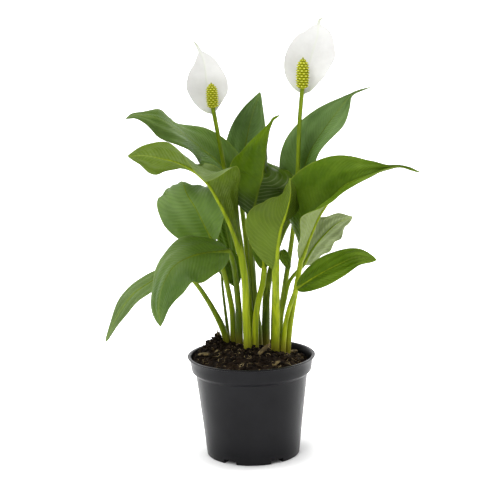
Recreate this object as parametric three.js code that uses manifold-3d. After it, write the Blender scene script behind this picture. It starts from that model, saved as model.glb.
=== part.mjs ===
// Peace lily (Spathiphyllum) with two blooms, growing in a 12 cm nursery pot.
// Millimetres, +Z up, -Y is the front. The origin is the centre of the pot's underside,
// on the surface that the pot stands on.
import * as THREE from 'three';
import { mergeVertices } from 'three/addons/utils/BufferGeometryUtils.js';
import Module from 'manifold-3d';

const wasm = await Module();
wasm.setup();

// ---------------------------------------------------------------- driving dimensions

const POT_HEIGHT = 95;
const RIM_RADIUS = 60; // outer edge of the rolled lip: the "12 cm" of a 12 cm pot
const LIP_HEIGHT = 1.2;
const BAND_TOP_RADIUS = 58; // the upright band under the lip, which stands out from the body
const BAND_RADIUS = 56.3;
const BAND_FOOT = 81;
const LEDGE_HEIGHT = 78; // where the body ends and steps out to the band
const BODY_TOP_RADIUS = 52.7;
const FOOT_RADIUS = 43.5;
const POT_WALL = 1.6;
const POT_SIDES = 48;

const CHANNELS = 6; // drain channels across the underside, from the centre disc out
const CHANNEL_WIDTH = 13;
const CHANNEL_DEPTH = 4;
const CHANNEL_START = 26;
const CHANNEL_TURN = 30; // degrees from the front to the first channel
const DRAIN_RADIUS = 3.6;
const DRAIN_AT = 35;

const ROOM_TOP = 120; // the room over the soil, up to which the pot is open
const GAP = 0.3; // clearance kept between pieces that touch
const SOCKET_GAP = 0.4; // clearance of a stalk in its hole in the soil
const SOIL_EDGE = 88; // height of the soil at the wall
const SOIL_CROWN = 11; // how much higher the mound is round the stems
const SOIL_HEAP = 8;
const SOIL_LEAN = 3; // how much higher the soil is at the left wall than in the middle

const BLADE_THICKNESS = 0.8;
const SPATHE_THICKNESS = 0.8;
const SPATHE_KEEL = 0.4;
const BLADE_KEEL = 1.6; // depth of the keel under a blade's midrib, in radii of its stalk
const DRIP_TIP = 1.8; // half the width of a drip tip where it starts
const DRIP_SHARE = 0.04; // least share of a blade's length over which the drip tip thins out
const DRIP_TAPER = 0.6;
const BLADE_COLUMNS = 4; // strips in each half of a blade
const BLADE_ROWS = 13;
const SPATHE_ROWS = 11;
const STALK_SIDES = 6;
const STALK_STEP = 22; // length of one step along a stalk
const SLOPE_STEPS = 8; // steps that add up a blade's slope from the midrib outwards

const FLORETS_AROUND = 9;
const FLORET_ROWS = 11; // an odd number
const FLORET_RISE = 0.9;
const FLORET_GROOVE = 0.35;

// ---------------------------------------------------------------- the plant

// One leaf per entry. The stalk is its centre line from the foot in the soil to the blade.
// The blade is its midrib from base to tip, one line a point: the place, the way that the
// upper side faces, and the degrees by which each half rises towards that side: the left
// half at the midrib and at the margin, then the right half. half is half the greatest
// width; belly shapes the outline: how it widens, how it narrows, and the share of the length
// that is a drip tip; wave is the margin's height, count and phase; radii are the stalk's at
// the foot and at the blade.
const LEAVES = [
  {
    name: 'leaf_01', half: 25, belly: [0.75, 1.05, 0],
    wave: [2.4, 2.6, 0.35], radii: [3.6, 2.2],
    stalk: [[-3, 20, 87], [-2, 21, 100], [-1, 29, 141], [-2, 34, 188]],
    blade: [
      [-7, 38, 241,  -0.3, -0.5, 0.8,  45, 50, 22, 20],
      [-26, 38, 271,  -0.2, -0.6, 0.8,  40, 36, 16, 4],
      [-44, 30, 288,  -0.1, -0.6, 0.8,  12, 8, 10, -2],
      [-63, 13, 306,  0, -0.5, 0.9,  -18, -34, 5, -7],
      [-78, 0, 317,  0.05, -0.6, 0.8,  -30, -48, 0, -14],
      [-92, -6, 321,  0.1, -0.55, 0.85,  -14, -22, -5, -12],
      [-101, -9, 322,  0.2, -0.5, 0.8,  -10, -10, -5, -10],
      [-109, -11, 319,  0.2, -0.5, 0.8,  0, -10, 0, -10],
    ],
  },
  {
    name: 'leaf_02', half: 34, belly: [1.4, 0.9, 0],
    wave: [1.8, 3.2, 0.2], radii: [4, 3.3],
    stalk: [[-3, 3, 82], [-3, 3, 96], [-4, 3, 132], [-4, 1, 161]],
    blade: [
      [-7, 0, 189,  0.25, 0.95, 0.1,  50, 60, 85, 150],
      [-15, -4, 215,  0.25, 0.95, 0.15,  62, 66, 85, 150],
      [-21, -7, 230,  0.2, 0.95, 0.2,  58, 62, 85, 150],
      [-27, -10, 243,  0.2, 0.95, 0.2,  42, 48, 88, 158],
      [-35, -14, 258,  0.15, 0.95, 0.25,  5, 5, 84, 140],
      [-43, -18, 267,  0.05, 0.88, 0.4,  -20, -145, 60, 80],
      [-51, -22, 274,  0, 0.85, 0.5,  -32, -120, 46, 52],
      [-64, -26, 281,  0, 0.8, 0.6,  -15, -85, 24, 30],
      [-78, -30, 285,  0, 0.72, 0.7,  0, -20, 4, 6],
      [-91, -33, 288,  0, 0.7, 0.72,  0, -5, 0, 0],
      [-106, -36, 288,  0, 0.7, 0.72,  0, 0, 0, 0],
    ],
  },
  {
    name: 'leaf_03', half: 34, belly: [0.72, 1, 0],
    wave: [0.8, 2, 0.8], radii: [3.4, 2.2],
    stalk: [[-17, 33, 89], [-17, 28, 127], [-19, 22, 145], [-25, 16, 175]],
    blade: [
      [-33, 20, 198,  -0.2, -0.95, 0.2,  14, 14, 40, 40],
      [-41, 22, 214,  -0.1, -0.95, 0.2,  8, 8, 38, 38],
      [-49, 23, 231,  -0.1, -0.95, 0.25,  0, 0, 22, 5],
      [-57, 27, 244,  -0.1, -0.85, 0.5,  -8, -10, -13, -36],
      [-61, 35, 254,  -0.1, -0.4, 0.9,  -22, -22, -26, -38],
      [-63, 45, 254,  -0.1, 0.2, 0.95,  -20, -20, -30, -40],
      [-64, 58, 244,  -0.1, 0.7, 0.7,  0, 0, 0, 0],
    ],
  },
  {
    name: 'leaf_04', half: 27, belly: [0.7, 1, 0],
    wave: [2.2, 3, 0.3], radii: [3.8, 2.4],
    stalk: [[-11, 24, 91], [-11, 24, 105], [-11, 22, 135], [-14, 6, 177]],
    blade: [
      [-18, -8, 195,  0, -0.8, 0.6,  0, -12, 5, -7],
      [-35, -22, 197,  -0.05, -0.75, 0.65,  -5, -17, 0, -12],
      [-51, -33, 196,  -0.15, -0.7, 0.7,  -10, -22, -5, -17],
      [-67, -41, 189,  -0.35, -0.65, 0.65,  -12, -24, -10, -22],
      [-78, -46, 172,  -0.5, -0.7, 0.4,  -8, -20, -22, -34],
      [-82, -48, 155,  -0.4, -0.85, 0.1,  0, -12, -20, -32],
      [-81, -50, 135,  -0.3, -0.95, 0,  0, -12, 0, -12],
    ],
  },
  {
    name: 'leaf_05', half: 11, belly: [0.7, 0.95, 0],
    wave: [0.8, 3, 0.3], radii: [3.6, 2],
    stalk: [[-23, 28, 91], [-24, 27, 105], [-35, 20, 134], [-50, 12, 161]],
    blade: [
      [-62, 6, 176,  -0.2, -0.6, 0.75,  12, -3, 8, -7],
      [-78, 0, 174,  -0.3, -0.7, 0.7,  10, -5, 4, -11],
      [-94, -5, 166,  -0.5, -0.7, 0.55,  8, -7, 0, -15],
      [-108, -9, 157,  -0.55, -0.75, 0.4,  5, -10, 0, -15],
      [-122, -12, 139,  -0.65, -0.7, 0.3,  5, -10, 0, -15],
      [-135, -14, 113,  -0.7, -0.65, 0.2,  0, -15, 0, -15],
    ],
  },
  {
    name: 'leaf_06', half: 11, belly: [0.8, 1, 0],
    wave: [0.4, 2, 0], radii: [2.6, 1.4],
    stalk: [[-10, 35, 89], [-11, 36, 103], [-13, 42, 138]],
    blade: [
      [-16, 47, 173,  -0.5, -0.8, 0.2,  20, 10, 20, 10],
      [-19, 49, 193,  -0.5, -0.8, 0.2,  15, 5, 15, 5],
      [-22, 50, 210,  -0.4, -0.8, 0.3,  10, 0, 10, 0],
      [-23, 48, 227,  -0.3, -0.8, 0.4,  0, -10, 0, -10],
    ],
  },
  {
    name: 'leaf_07', half: 12, belly: [0.8, 0.9, 0],
    wave: [0.4, 2, 0], radii: [1.8, 1.2],
    stalk: [[-22, 38, 90], [-22, 37, 104], [-24, 30, 131], [-26, 24, 159]],
    blade: [
      [-26, 26, 178,  0.1, -0.6, 0.8,  5, -5, 5, -5],
      [-24, 33, 184,  0.2, -0.6, 0.8,  5, -5, 5, -5],
      [-19, 39, 172,  0.1, -0.9, 0.4,  5, -5, 5, -5],
      [-12, 40, 151,  0.2, -0.9, 0.3,  0, -10, 0, -10],
    ],
  },
  {
    name: 'leaf_08', half: 19, belly: [0.85, 1.05, 0],
    wave: [0.6, 2, 0], radii: [3.6, 2.2],
    stalk: [[5, 38, 87], [5, 38, 101], [4, 42, 148], [2, 46, 196]],
    blade: [
      [-1, 50, 239,  0.1, -0.95, 0.2,  15, 3, 15, 3],
      [-4, 54, 265,  0.1, -0.95, 0.2,  10, -2, 10, -2],
      [0, 56, 291,  0.1, -0.95, 0.2,  6, -6, 6, -6],
      [6, 54, 315,  0.2, -0.95, 0.2,  3, -9, 3, -9],
      [14, 50, 337,  0.3, -0.9, 0.2,  0, -12, 0, -12],
    ],
  },
  {
    name: 'leaf_09', half: 33, belly: [0.9, 1.45, 0.08],
    wave: [1, 2, 0.6], radii: [3.4, 2.4],
    stalk: [[8, 19, 87], [8, 19, 101], [5, 20, 143], [2, 21, 186]],
    blade: [
      [3, 18, 222,  -0.2, -0.95, 0.3,  10, 0, 0, 0],
      [7, 14, 236,  -0.2, -0.95, 0.3,  12, 10, -8, -5],
      [11, 11, 252,  -0.2, -0.95, 0.3,  14, 12, -16, -18],
      [14, 9, 261,  -0.2, -0.9, 0.45,  16, 14, -10, -8],
      [15, 8, 267,  -0.2, -0.9, 0.4,  14, 10, -88, -140],
      [17, 6, 277,  -0.2, -0.96, 0.2,  8, 0, -95, -150],
      [19, 3, 293,  -0.2, -0.96, 0.15,  8, 0, -105, -150],
      [22, 0, 308,  -0.2, -0.96, 0.2,  8, 0, -100, -120],
      [25, -2, 315,  -0.2, -0.9, 0.4,  0, 0, -80, -80],
      [31, -4, 319,  0, -0.9, 0.4,  0, 0, 0, 0],
    ],
  },
  {
    name: 'leaf_10', half: 34, belly: [1.1, 1.25, 0],
    wave: [0.6, 2, 0.3], radii: [4.2, 3.4],
    stalk: [[23, 3, 81], [23, 2, 95], [24, -3, 128], [24, -12, 158]],
    blade: [
      [24, -17, 176,  0.15, 0.95, 0.2,  80, 95, 0, 0],
      [26, -26, 201,  0.12, 0.95, 0.2,  85, 100, 10, 20],
      [29, -32, 219,  0.08, 0.95, 0.2,  80, 84, 15, 30],
      [32, -34, 227,  0.08, 0.95, 0.2,  68, 72, 42, 62],
      [35, -37, 236,  0.05, 0.95, 0.2,  68, 74, 62, 80],
      [38, -40, 249,  0.05, 0.95, 0.25,  68, 76, 66, 84],
      [38, -42, 266,  0.05, 0.9, 0.4,  60, 60, 60, 60],
    ],
  },
  {
    name: 'leaf_11', half: 8, belly: [0.6, 0.7, 0],
    wave: [0.4, 2, 0], radii: [3.5, 2.7],
    stalk: [[4, 8, 85], [4, 8, 99], [5, 7, 126], [8, 6, 145], [12, 8, 160]],
    blade: [
      [14, 8, 174,  -0.3, -0.9, 0.3,  10, 0, 10, 0],
      [12, 10, 187,  -0.3, -0.9, 0.3,  10, 0, 10, 0],
      [10, 12, 199,  -0.3, -0.9, 0.3,  5, -5, 5, -5],
      [12, 14, 211,  -0.2, -0.9, 0.3,  0, -10, 0, -10],
    ],
  },
  {
    name: 'leaf_12', half: 26, belly: [0.9, 1.15, 0.12],
    wave: [1.6, 2.5, 0.3], radii: [4.2, 2.4],
    stalk: [[14, 26, 87], [15, 28, 123], [16, 34, 144], [22, 43, 172], [34, 44, 205]],
    blade: [
      [47, 38, 227,  0.1, -0.95, 0.3,  15, 5, 50, 50],
      [51, 34, 254,  0.1, -0.95, 0.3,  10, 0, 60, 65],
      [59, 30, 280,  0.05, -0.9, 0.4,  8, -2, 66, 70],
      [74, 26, 304,  0, -0.85, 0.5,  0, -10, 44, 50],
      [90, 22, 325,  0.2, -0.75, 0.6,  0, -10, -5, 0],
      [99, 20, 335,  0.3, -0.6, 0.7,  0, 0, 10, 10],
      [116, 20, 341,  0.5, -0.4, 0.7,  0, 0, 0, 0],
    ],
  },
  {
    name: 'leaf_13', half: 41, belly: [1.15, 2, 0.06],
    wave: [1, 2.5, 0.3], radii: [3.2, 2.5],
    stalk: [[33, 8, 79], [34, 8, 93], [37, 6, 121], [41, 3, 145], [45, 0, 167]],
    blade: [
      [48, -2, 184,  -0.5, -0.3, 0.6,  5, -5, 50, 45],
      [56, -8, 207,  -0.5, -0.4, 0.7,  26, 18, 42, 42],
      [67, -14, 231,  -0.35, -0.55, 0.75,  44, 36, 54, 54],
      [86, -26, 255,  -0.05, -0.85, 0.5,  26, 12, 61, 56],
      [111, -35, 267,  0, -0.75, 0.65,  22, 22, 46, 42],
      [125, -37, 271,  0, -0.72, 0.68,  65, 65, 55, 60],
      [136, -38, 273,  0.1, -0.7, 0.7,  50, 50, 50, 50],
      [154, -40, 268,  0.1, -0.7, 0.7,  0, 0, 0, 0],
    ],
  },
  {
    name: 'leaf_14', half: 16, belly: [0.6, 0.75, 0],
    wave: [2.6, 3.4, 0.2], radii: [2.8, 1.8],
    stalk: [[28, 12, 81], [28, 12, 95], [29, 14, 126], [33, 17, 144], [38, 22, 160]],
    blade: [
      [51, 24, 174,  -0.3, 0.9, 0.4,  0, -5, 30, 30],
      [60, 22, 190,  -0.3, 0.9, 0.4,  0, -5, 35, 30],
      [72, 18, 205,  -0.3, 0.9, 0.4,  -5, -10, 35, 30],
      [84, 14, 216,  -0.2, 0.8, 0.6,  -5, -10, 25, 20],
      [97, 10, 222,  -0.1, 0.7, 0.7,  0, -5, 0, -5],
    ],
  },
  {
    name: 'leaf_15', half: 15, belly: [0.6, 0.8, 0],
    wave: [0.5, 2, 0], radii: [2.6, 2],
    stalk: [[30, 2, 82], [30, 2, 96], [33, 0, 125], [38, -6, 145]],
    blade: [
      [43, -12, 159,  -0.1, -0.7, 0.7,  10, -2, 10, -2],
      [59, -20, 171,  -0.1, -0.75, 0.7,  8, -4, 8, -4],
      [79, -27, 183,  0, -0.75, 0.7,  4, -8, 4, -8],
      [98, -32, 191,  0.1, -0.75, 0.7,  5, -7, 5, -7],
      [115, -36, 189,  0.2, -0.7, 0.7,  0, -12, 0, -12],
    ],
  },
  {
    name: 'leaf_16', half: 5, belly: [0.8, 0.9, 0],
    wave: [0.3, 2, 0], radii: [2, 1.1],
    stalk: [[21, 32, 87], [21, 32, 101], [22, 30, 140], [24, 30, 171]],
    blade: [
      [28, 30, 186,  0.2, -0.6, 0.8,  5, 0, 5, 0],
      [30, 25, 188,  0.2, -0.8, 0.6,  5, 0, 5, 0],
      [34, 23, 181,  0.2, -0.9, 0.4,  5, 0, 5, 0],
      [38, 23, 171,  0.2, -0.9, 0.3,  0, -5, 0, -5],
    ],
  },
];

// One bloom per entry: its stalk, the spadix on the stalk's end and the spathe behind it.
const FLOWERS = [
  {
    name: 'flower_left', half: 20, belly: [0.7, 0.9, 0.17],
    wave: [0.8, 1.5, 0.3], radii: [2.6, 2],
    stalk: [[2, 15, 87], [2, 15, 101], [-2, 20, 152], [-10, 25, 214], [-21, 21, 269], [-27, 12, 307]],
    spadix: { bottom: [-30, 7, 326], top: [-31, 6, 349], radius: 5 },
    blade: [
      [-31, 11, 320,  0, -0.95, 0.2,  20, 40, 20, 40],
      [-34, 16, 333,  0.05, -0.95, 0.2,  22, 40, 12, 30],
      [-35, 18, 344,  0.05, -0.95, 0.15,  12, 30, 10, 30],
      [-36, 18, 355,  0.05, -0.95, 0.1,  12, 30, 10, 34],
      [-37, 16, 366,  0.05, -0.95, 0.1,  10, 30, 8, 40],
      [-39, 14, 373,  0.05, -0.95, 0.1,  10, 20, 10, 20],
      [-41, 13, 378,  0, -0.95, 0.1,  0, 0, 0, 0],
      [-44, 11, 384,  0, -0.9, 0.3,  0, 0, 0, 0],
      [-47, 9, 387,  0, -0.9, 0.3,  0, 0, 0, 0],
    ],
  },
  {
    name: 'flower_right', half: 24, belly: [0.55, 0.65, 0.12],
    wave: [0.8, 1.5, 0.3], radii: [2.6, 2],
    stalk: [[25, 40, 88], [25, 40, 102], [33, 35, 148], [42, 27, 208], [47, 16, 266], [49, 8, 311]],
    spadix: { bottom: [52, 5, 342], top: [53, 3, 370], radius: 5.4 },
    blade: [
      [53, 9, 336,  0, -0.95, 0.2,  15, 30, 30, 50],
      [55, 15, 346,  0, -0.95, 0.2,  12, 25, 36, 60],
      [58, 18, 358,  0, -0.95, 0.15,  10, 20, 32, 62],
      [61, 19, 369,  0, -0.95, 0.1,  8, 15, 24, 52],
      [64, 18, 379,  0, -0.95, 0.1,  8, 12, 12, 20],
      [67, 16, 389,  0, -0.95, 0.1,  5, 5, 0, 25],
      [68, 14, 398,  0, -0.9, 0.3,  0, 0, 0, 0],
      [69, 12, 403,  0, -0.9, 0.3,  0, 0, 0, 0],
      [73, 10, 405,  0, -0.9, 0.3,  0, 0, 0, 0],
    ],
  },
];

// Chips of bark that lie on the soil: centre, length, width, thickness, turn and tilt.
const CHIPS = [
  { name: 'bark_chip_1', at: [11, -14], size: [17, 6, 3], turn: 33, tilt: 32 },
  { name: 'bark_chip_2', at: [22, -32], size: [11, 5, 2.5], turn: 45, tilt: 10 },
  { name: 'bark_chip_3', at: [-44, -4], size: [12, 7, 3], turn: -30, tilt: 6 },
  { name: 'bark_chip_4', at: [39, 15], size: [10, 6, 3], turn: 15, tilt: 6 },
];

// ---------------------------------------------------------------- materials

const finish = (color, roughness) => new THREE.MeshStandardMaterial({ color, roughness, metalness: 0 });
const POT_BLACK = [0x2a2c31, 0.42];
const SOIL_BROWN = [0x33241b, 0.95];
const BARK_BROWN = [0x7a5a3c, 0.85];
const LEAF_GREEN = [0x4f7a36, 0.38];
const STALK_GREEN = [0x86a83f, 0.42];
const SPATHE_WHITE = [0xf2f2ec, 0.5];
const SPADIX_GREEN = [0xb9bf45, 0.7];

// ---------------------------------------------------------------- solids

const Y = new THREE.Vector3(0, 1, 0);
const Z = new THREE.Vector3(0, 0, 1);
const vec = (p) => new THREE.Vector3(p[0], p[1], p[2]);
const rad = THREE.MathUtils.degToRad;

function toManifold(geometry) {
  const bare = new THREE.BufferGeometry();
  bare.setAttribute('position', geometry.getAttribute('position').clone());
  if (geometry.index) bare.setIndex(geometry.index.clone());
  const merged = mergeVertices(bare, 1e-4);
  const vertProperties = new Float32Array(merged.getAttribute('position').array);
  const triVerts = new Uint32Array(merged.index.array);
  return new wasm.Manifold(new wasm.Mesh({ numProp: 3, vertProperties, triVerts }));
}

function fromManifold(solid) {
  const mesh = solid.getMesh();
  const geometry = new THREE.BufferGeometry();
  geometry.setAttribute('position', new THREE.BufferAttribute(mesh.vertProperties, 3));
  geometry.setIndex(new THREE.BufferAttribute(mesh.triVerts, 1));
  return geometry;
}

function fromLists(points, triangles) {
  const geometry = new THREE.BufferGeometry();
  geometry.setFromPoints(points);
  geometry.setIndex(triangles);
  return geometry;
}

// A solid of revolution about Z. The profile runs up the outside, from the axis to the axis.
function turned(profile, sides) {
  const points = profile.map(([r, z]) => new THREE.Vector2(r, z));
  return new THREE.LatheGeometry(points, sides).rotateX(Math.PI / 2);
}

// ---------------------------------------------------------------- pot and soil

// What a drain channel cuts out of the underside, grown on every side.
function channelBar(grow) {
  const length = FOOT_RADIUS + 10 - CHANNEL_START + grow;
  const height = CHANNEL_DEPTH + 2 + grow;
  const bar = new THREE.BoxGeometry(CHANNEL_WIDTH + 2 * grow, length, height);
  return bar.translate(0, -(CHANNEL_START - grow + length / 2), CHANNEL_DEPTH + grow - height / 2);
}

// One solid that holds a copy of the shape at each channel.
function aroundPot(makeGeometry) {
  const solids = [];
  for (let i = 0; i < CHANNELS; i++) {
    const turn = rad(CHANNEL_TURN + (i * 360) / CHANNELS);
    solids.push(toManifold(makeGeometry().rotateZ(turn)));
  }
  return solids.reduce((all, one) => all.add(one));
}

// The room inside the pot, drawn in from the wall by inset and open upwards.
function potRoom(inset) {
  const inner = (r) => r - POT_WALL - inset;
  const room = toManifold(turned([
    [0, POT_WALL + inset],
    [inner(FOOT_RADIUS), POT_WALL + inset],
    [inner(BODY_TOP_RADIUS), LEDGE_HEIGHT],
    [inner(BAND_RADIUS), BAND_FOOT],
    [inner(BAND_TOP_RADIUS), POT_HEIGHT],
    [inner(BAND_TOP_RADIUS), ROOM_TOP],
    [0, ROOM_TOP],
  ], POT_SIDES));
  return room.subtract(aroundPot(() => channelBar(POT_WALL + inset)));
}

function pot() {
  const outside = toManifold(turned([
    [0, 0],
    [FOOT_RADIUS, 0],
    [FOOT_RADIUS + 0.4, CHANNEL_DEPTH],
    [BODY_TOP_RADIUS, LEDGE_HEIGHT],
    [BAND_RADIUS, BAND_FOOT],
    [BAND_TOP_RADIUS, POT_HEIGHT - LIP_HEIGHT - 0.4],
    [RIM_RADIUS, POT_HEIGHT - LIP_HEIGHT],
    [RIM_RADIUS, POT_HEIGHT],
    [0, POT_HEIGHT],
  ], POT_SIDES));
  const drainHeight = 4 * CHANNEL_DEPTH;
  const drains = aroundPot(() => new THREE.CylinderGeometry(DRAIN_RADIUS, DRAIN_RADIUS, drainHeight, 8)
    .rotateX(Math.PI / 2)
    .translate(0, -DRAIN_AT, 0));
  return outside
    .subtract(potRoom(0))
    .subtract(aroundPot(() => channelBar(0)))
    .subtract(drains);
}

// Height of the soil: a mound round the stems, a heap by the wall at the back on the left, clods
// of a few sizes, and a lean to the right.
function soilHeight(x, y) {
  const reach = Math.min(1, Math.hypot(x, y) / (RIM_RADIUS - 4));
  const mound = SOIL_CROWN * (1 - reach ** 2.2);
  const heap = SOIL_HEAP * Math.exp(-(((x + 36) / 12) ** 2) - ((y - 29) / 18) ** 2);
  const lean = (-SOIL_LEAN * x) / RIM_RADIUS;
  const clods = 1.1 * Math.sin(0.31 * x + 1.2) * Math.sin(0.27 * y + 0.5)
    + 0.7 * Math.sin(0.62 * x - 0.41 * y + 2.1);
  return SOIL_EDGE + mound + heap + lean + clods * (1 - 0.5 * reach);
}

// The soil before it is cut to the pot's room: wider and deeper than that room.
function soilBlock() {
  const rings = 7;
  const sides = 36;
  const radius = RIM_RADIUS + 4;
  const floor = -4;
  const positions = [new THREE.Vector3(0, 0, soilHeight(0, 0))];
  for (let ring = 1; ring <= rings; ring++) {
    for (let side = 0; side < sides; side++) {
      const angle = (2 * Math.PI * (side + 0.5 * (ring % 2))) / sides;
      const r = (radius * ring) / rings;
      const x = r * Math.cos(angle);
      const y = r * Math.sin(angle);
      positions.push(new THREE.Vector3(x, y, soilHeight(x, y)));
    }
  }
  const edge = 1 + (rings - 1) * sides;
  const below = positions.length;
  for (let side = 0; side < sides; side++) {
    const p = positions[edge + side];
    positions.push(new THREE.Vector3(p.x, p.y, floor));
  }
  const centreBelow = positions.length;
  positions.push(new THREE.Vector3(0, 0, floor));
  const triangles = [];
  for (let side = 0; side < sides; side++) {
    const next = (side + 1) % sides;
    triangles.push(0, 1 + side, 1 + next);
    for (let ring = 1; ring < rings; ring++) {
      const inner = 1 + (ring - 1) * sides;
      const outer = inner + sides;
      triangles.push(inner + side, outer + side, ring % 2 ? outer + next : inner + next);
      triangles.push(outer + next, inner + next, ring % 2 ? inner + side : outer + side);
    }
    triangles.push(edge + side, below + side, below + next, edge + side, below + next, edge + next);
    triangles.push(centreBelow, below + next, below + side);
  }
  return toManifold(fromLists(positions, triangles));
}

// A flat splinter with six corners, sunk a little into the soil; tilt lifts one end.
function chip({ at, size, turn, tilt }, grow) {
  const [length, width, height] = size;
  const rise = 0.35 * length * Math.sin(rad(tilt));
  const corners = [[-0.5, -0.2], [-0.32, -0.5], [0.28, -0.44], [0.5, -0.1], [0.4, 0.42], [-0.2, 0.5]];
  const shape = new THREE.Shape(corners.map(([u, v]) => (
    new THREE.Vector2(u * (length + 2 * grow), v * (width + 2 * grow))
  )));
  return new THREE.ExtrudeGeometry(shape, { depth: height + 2 * grow, bevelEnabled: false })
    .translate(0, 0, -height / 2 - grow)
    .rotateY(-rad(tilt))
    .rotateZ(rad(turn))
    .translate(at[0], at[1], soilHeight(at[0], at[1]) + height * 0.2 + rise);
}

// ---------------------------------------------------------------- stalks

// A tapered tube along a curve, closed at both ends. thick(v) is its radius at v from 0 to 1.
function tube(curve, steps, sides, thick) {
  const positions = [];
  for (let step = 0; step <= steps; step++) {
    const v = step / steps;
    const centre = curve.getPointAt(v);
    const along = curve.getTangentAt(v);
    const across = Y.clone().cross(along).normalize();
    const up = along.clone().cross(across);
    for (let side = 0; side < sides; side++) {
      const angle = (2 * Math.PI * side) / sides;
      positions.push(centre.clone()
        .addScaledVector(across, thick(v) * Math.cos(angle))
        .addScaledVector(up, thick(v) * Math.sin(angle)));
    }
  }
  const triangles = [];
  for (let step = 0; step < steps; step++) {
    for (let side = 0; side < sides; side++) {
      const a = step * sides + side;
      const b = step * sides + ((side + 1) % sides);
      triangles.push(a, b, b + sides, a, b + sides, a + sides);
    }
  }
  const last = steps * sides;
  for (let side = 1; side < sides - 1; side++) {
    triangles.push(0, side + 1, side);
    triangles.push(last, last + side, last + side + 1);
  }
  return fromLists(positions, triangles);
}

// The stalk's centre line, ended short of what it carries.
function stalkCurve(points, end) {
  const line = points.map(vec);
  const before = line[line.length - 1];
  const short = end.clone().sub(before).setLength(end.distanceTo(before) - GAP);
  line.push(before.clone().add(short));
  return new THREE.CatmullRomCurve3(line, false, 'centripetal');
}

const taper = (radii, grow) => (v) => radii[1] + (radii[0] - radii[1]) * (1 - v) ** 1.3 + grow;

function stalk(item, grow) {
  const end = vec(item.spadix ? item.spadix.bottom : item.blade[0]);
  const curve = stalkCurve(item.stalk, end);
  const steps = Math.max(5, Math.round(curve.getLength() / STALK_STEP));
  return tube(curve, steps, STALK_SIDES, taper(item.radii, grow));
}

// ---------------------------------------------------------------- blades

// Half a blade's width at u, from 0 at the base to 1 at the tip. The last share of the length,
// tail, is only a thin drip tip.
function halfWidth(u, half, [rise, fall, tail]) {
  const v = Math.min(u / (1 - tail), 1);
  const peak = rise / (rise + fall);
  const body = (v ** rise * (1 - v) ** fall) / (peak ** rise * (1 - peak) ** fall);
  const drip = DRIP_TIP * Math.min((1 - u) / Math.max(tail, DRIP_SHARE), 1) ** DRIP_TAPER;
  return Math.hypot(half * body, drip);
}

// The middle surface of a blade or spathe at u along the midrib and s across it, from -1 at
// the left margin to 1 at the right.
function bladeSurface(item) {
  const keys = item.blade;
  const spine = new THREE.CatmullRomCurve3(keys.map((k) => vec(k)), false, 'centripetal');
  const faces = new THREE.CatmullRomCurve3(keys.map((k) => vec(k.slice(3))), false, 'catmullrom');
  const lefts = new THREE.CatmullRomCurve3(keys.map((k) => vec([k[6], k[7], 0])), false, 'catmullrom');
  const rights = new THREE.CatmullRomCurve3(keys.map((k) => vec([k[8], k[9], 0])), false, 'catmullrom');
  const [height, count, phase] = item.wave;
  return (u, s) => {
    const t = spine.getUtoTmapping(u);
    const along = spine.getTangent(t);
    const face = faces.getPoint(t);
    face.addScaledVector(along, -face.dot(along)).normalize();
    const right = along.clone().cross(face);
    const lift = (s < 0 ? lefts : rights).getPoint(t);
    const part = Math.abs(s);
    const step = (halfWidth(u, item.half, item.belly) * part) / SLOPE_STEPS;
    let out = 0;
    let up = 0;
    for (let i = 0; i < SLOPE_STEPS; i++) {
      const reach = (part * (i + 0.5)) / SLOPE_STEPS;
      const slope = rad(lift.x + (lift.y - lift.x) * reach ** 2);
      out += step * Math.cos(slope);
      up += step * Math.sin(slope);
    }
    const ripple = height * part ** 2 * Math.sin(2 * Math.PI * (count * u + phase + (s < 0 ? 0.35 : 0)))
      * Math.sin(Math.PI * u);
    return spine.getPoint(t)
      .addScaledVector(right, Math.sign(s) * out)
      .addScaledVector(face, up + ripple);
  };
}

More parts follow.
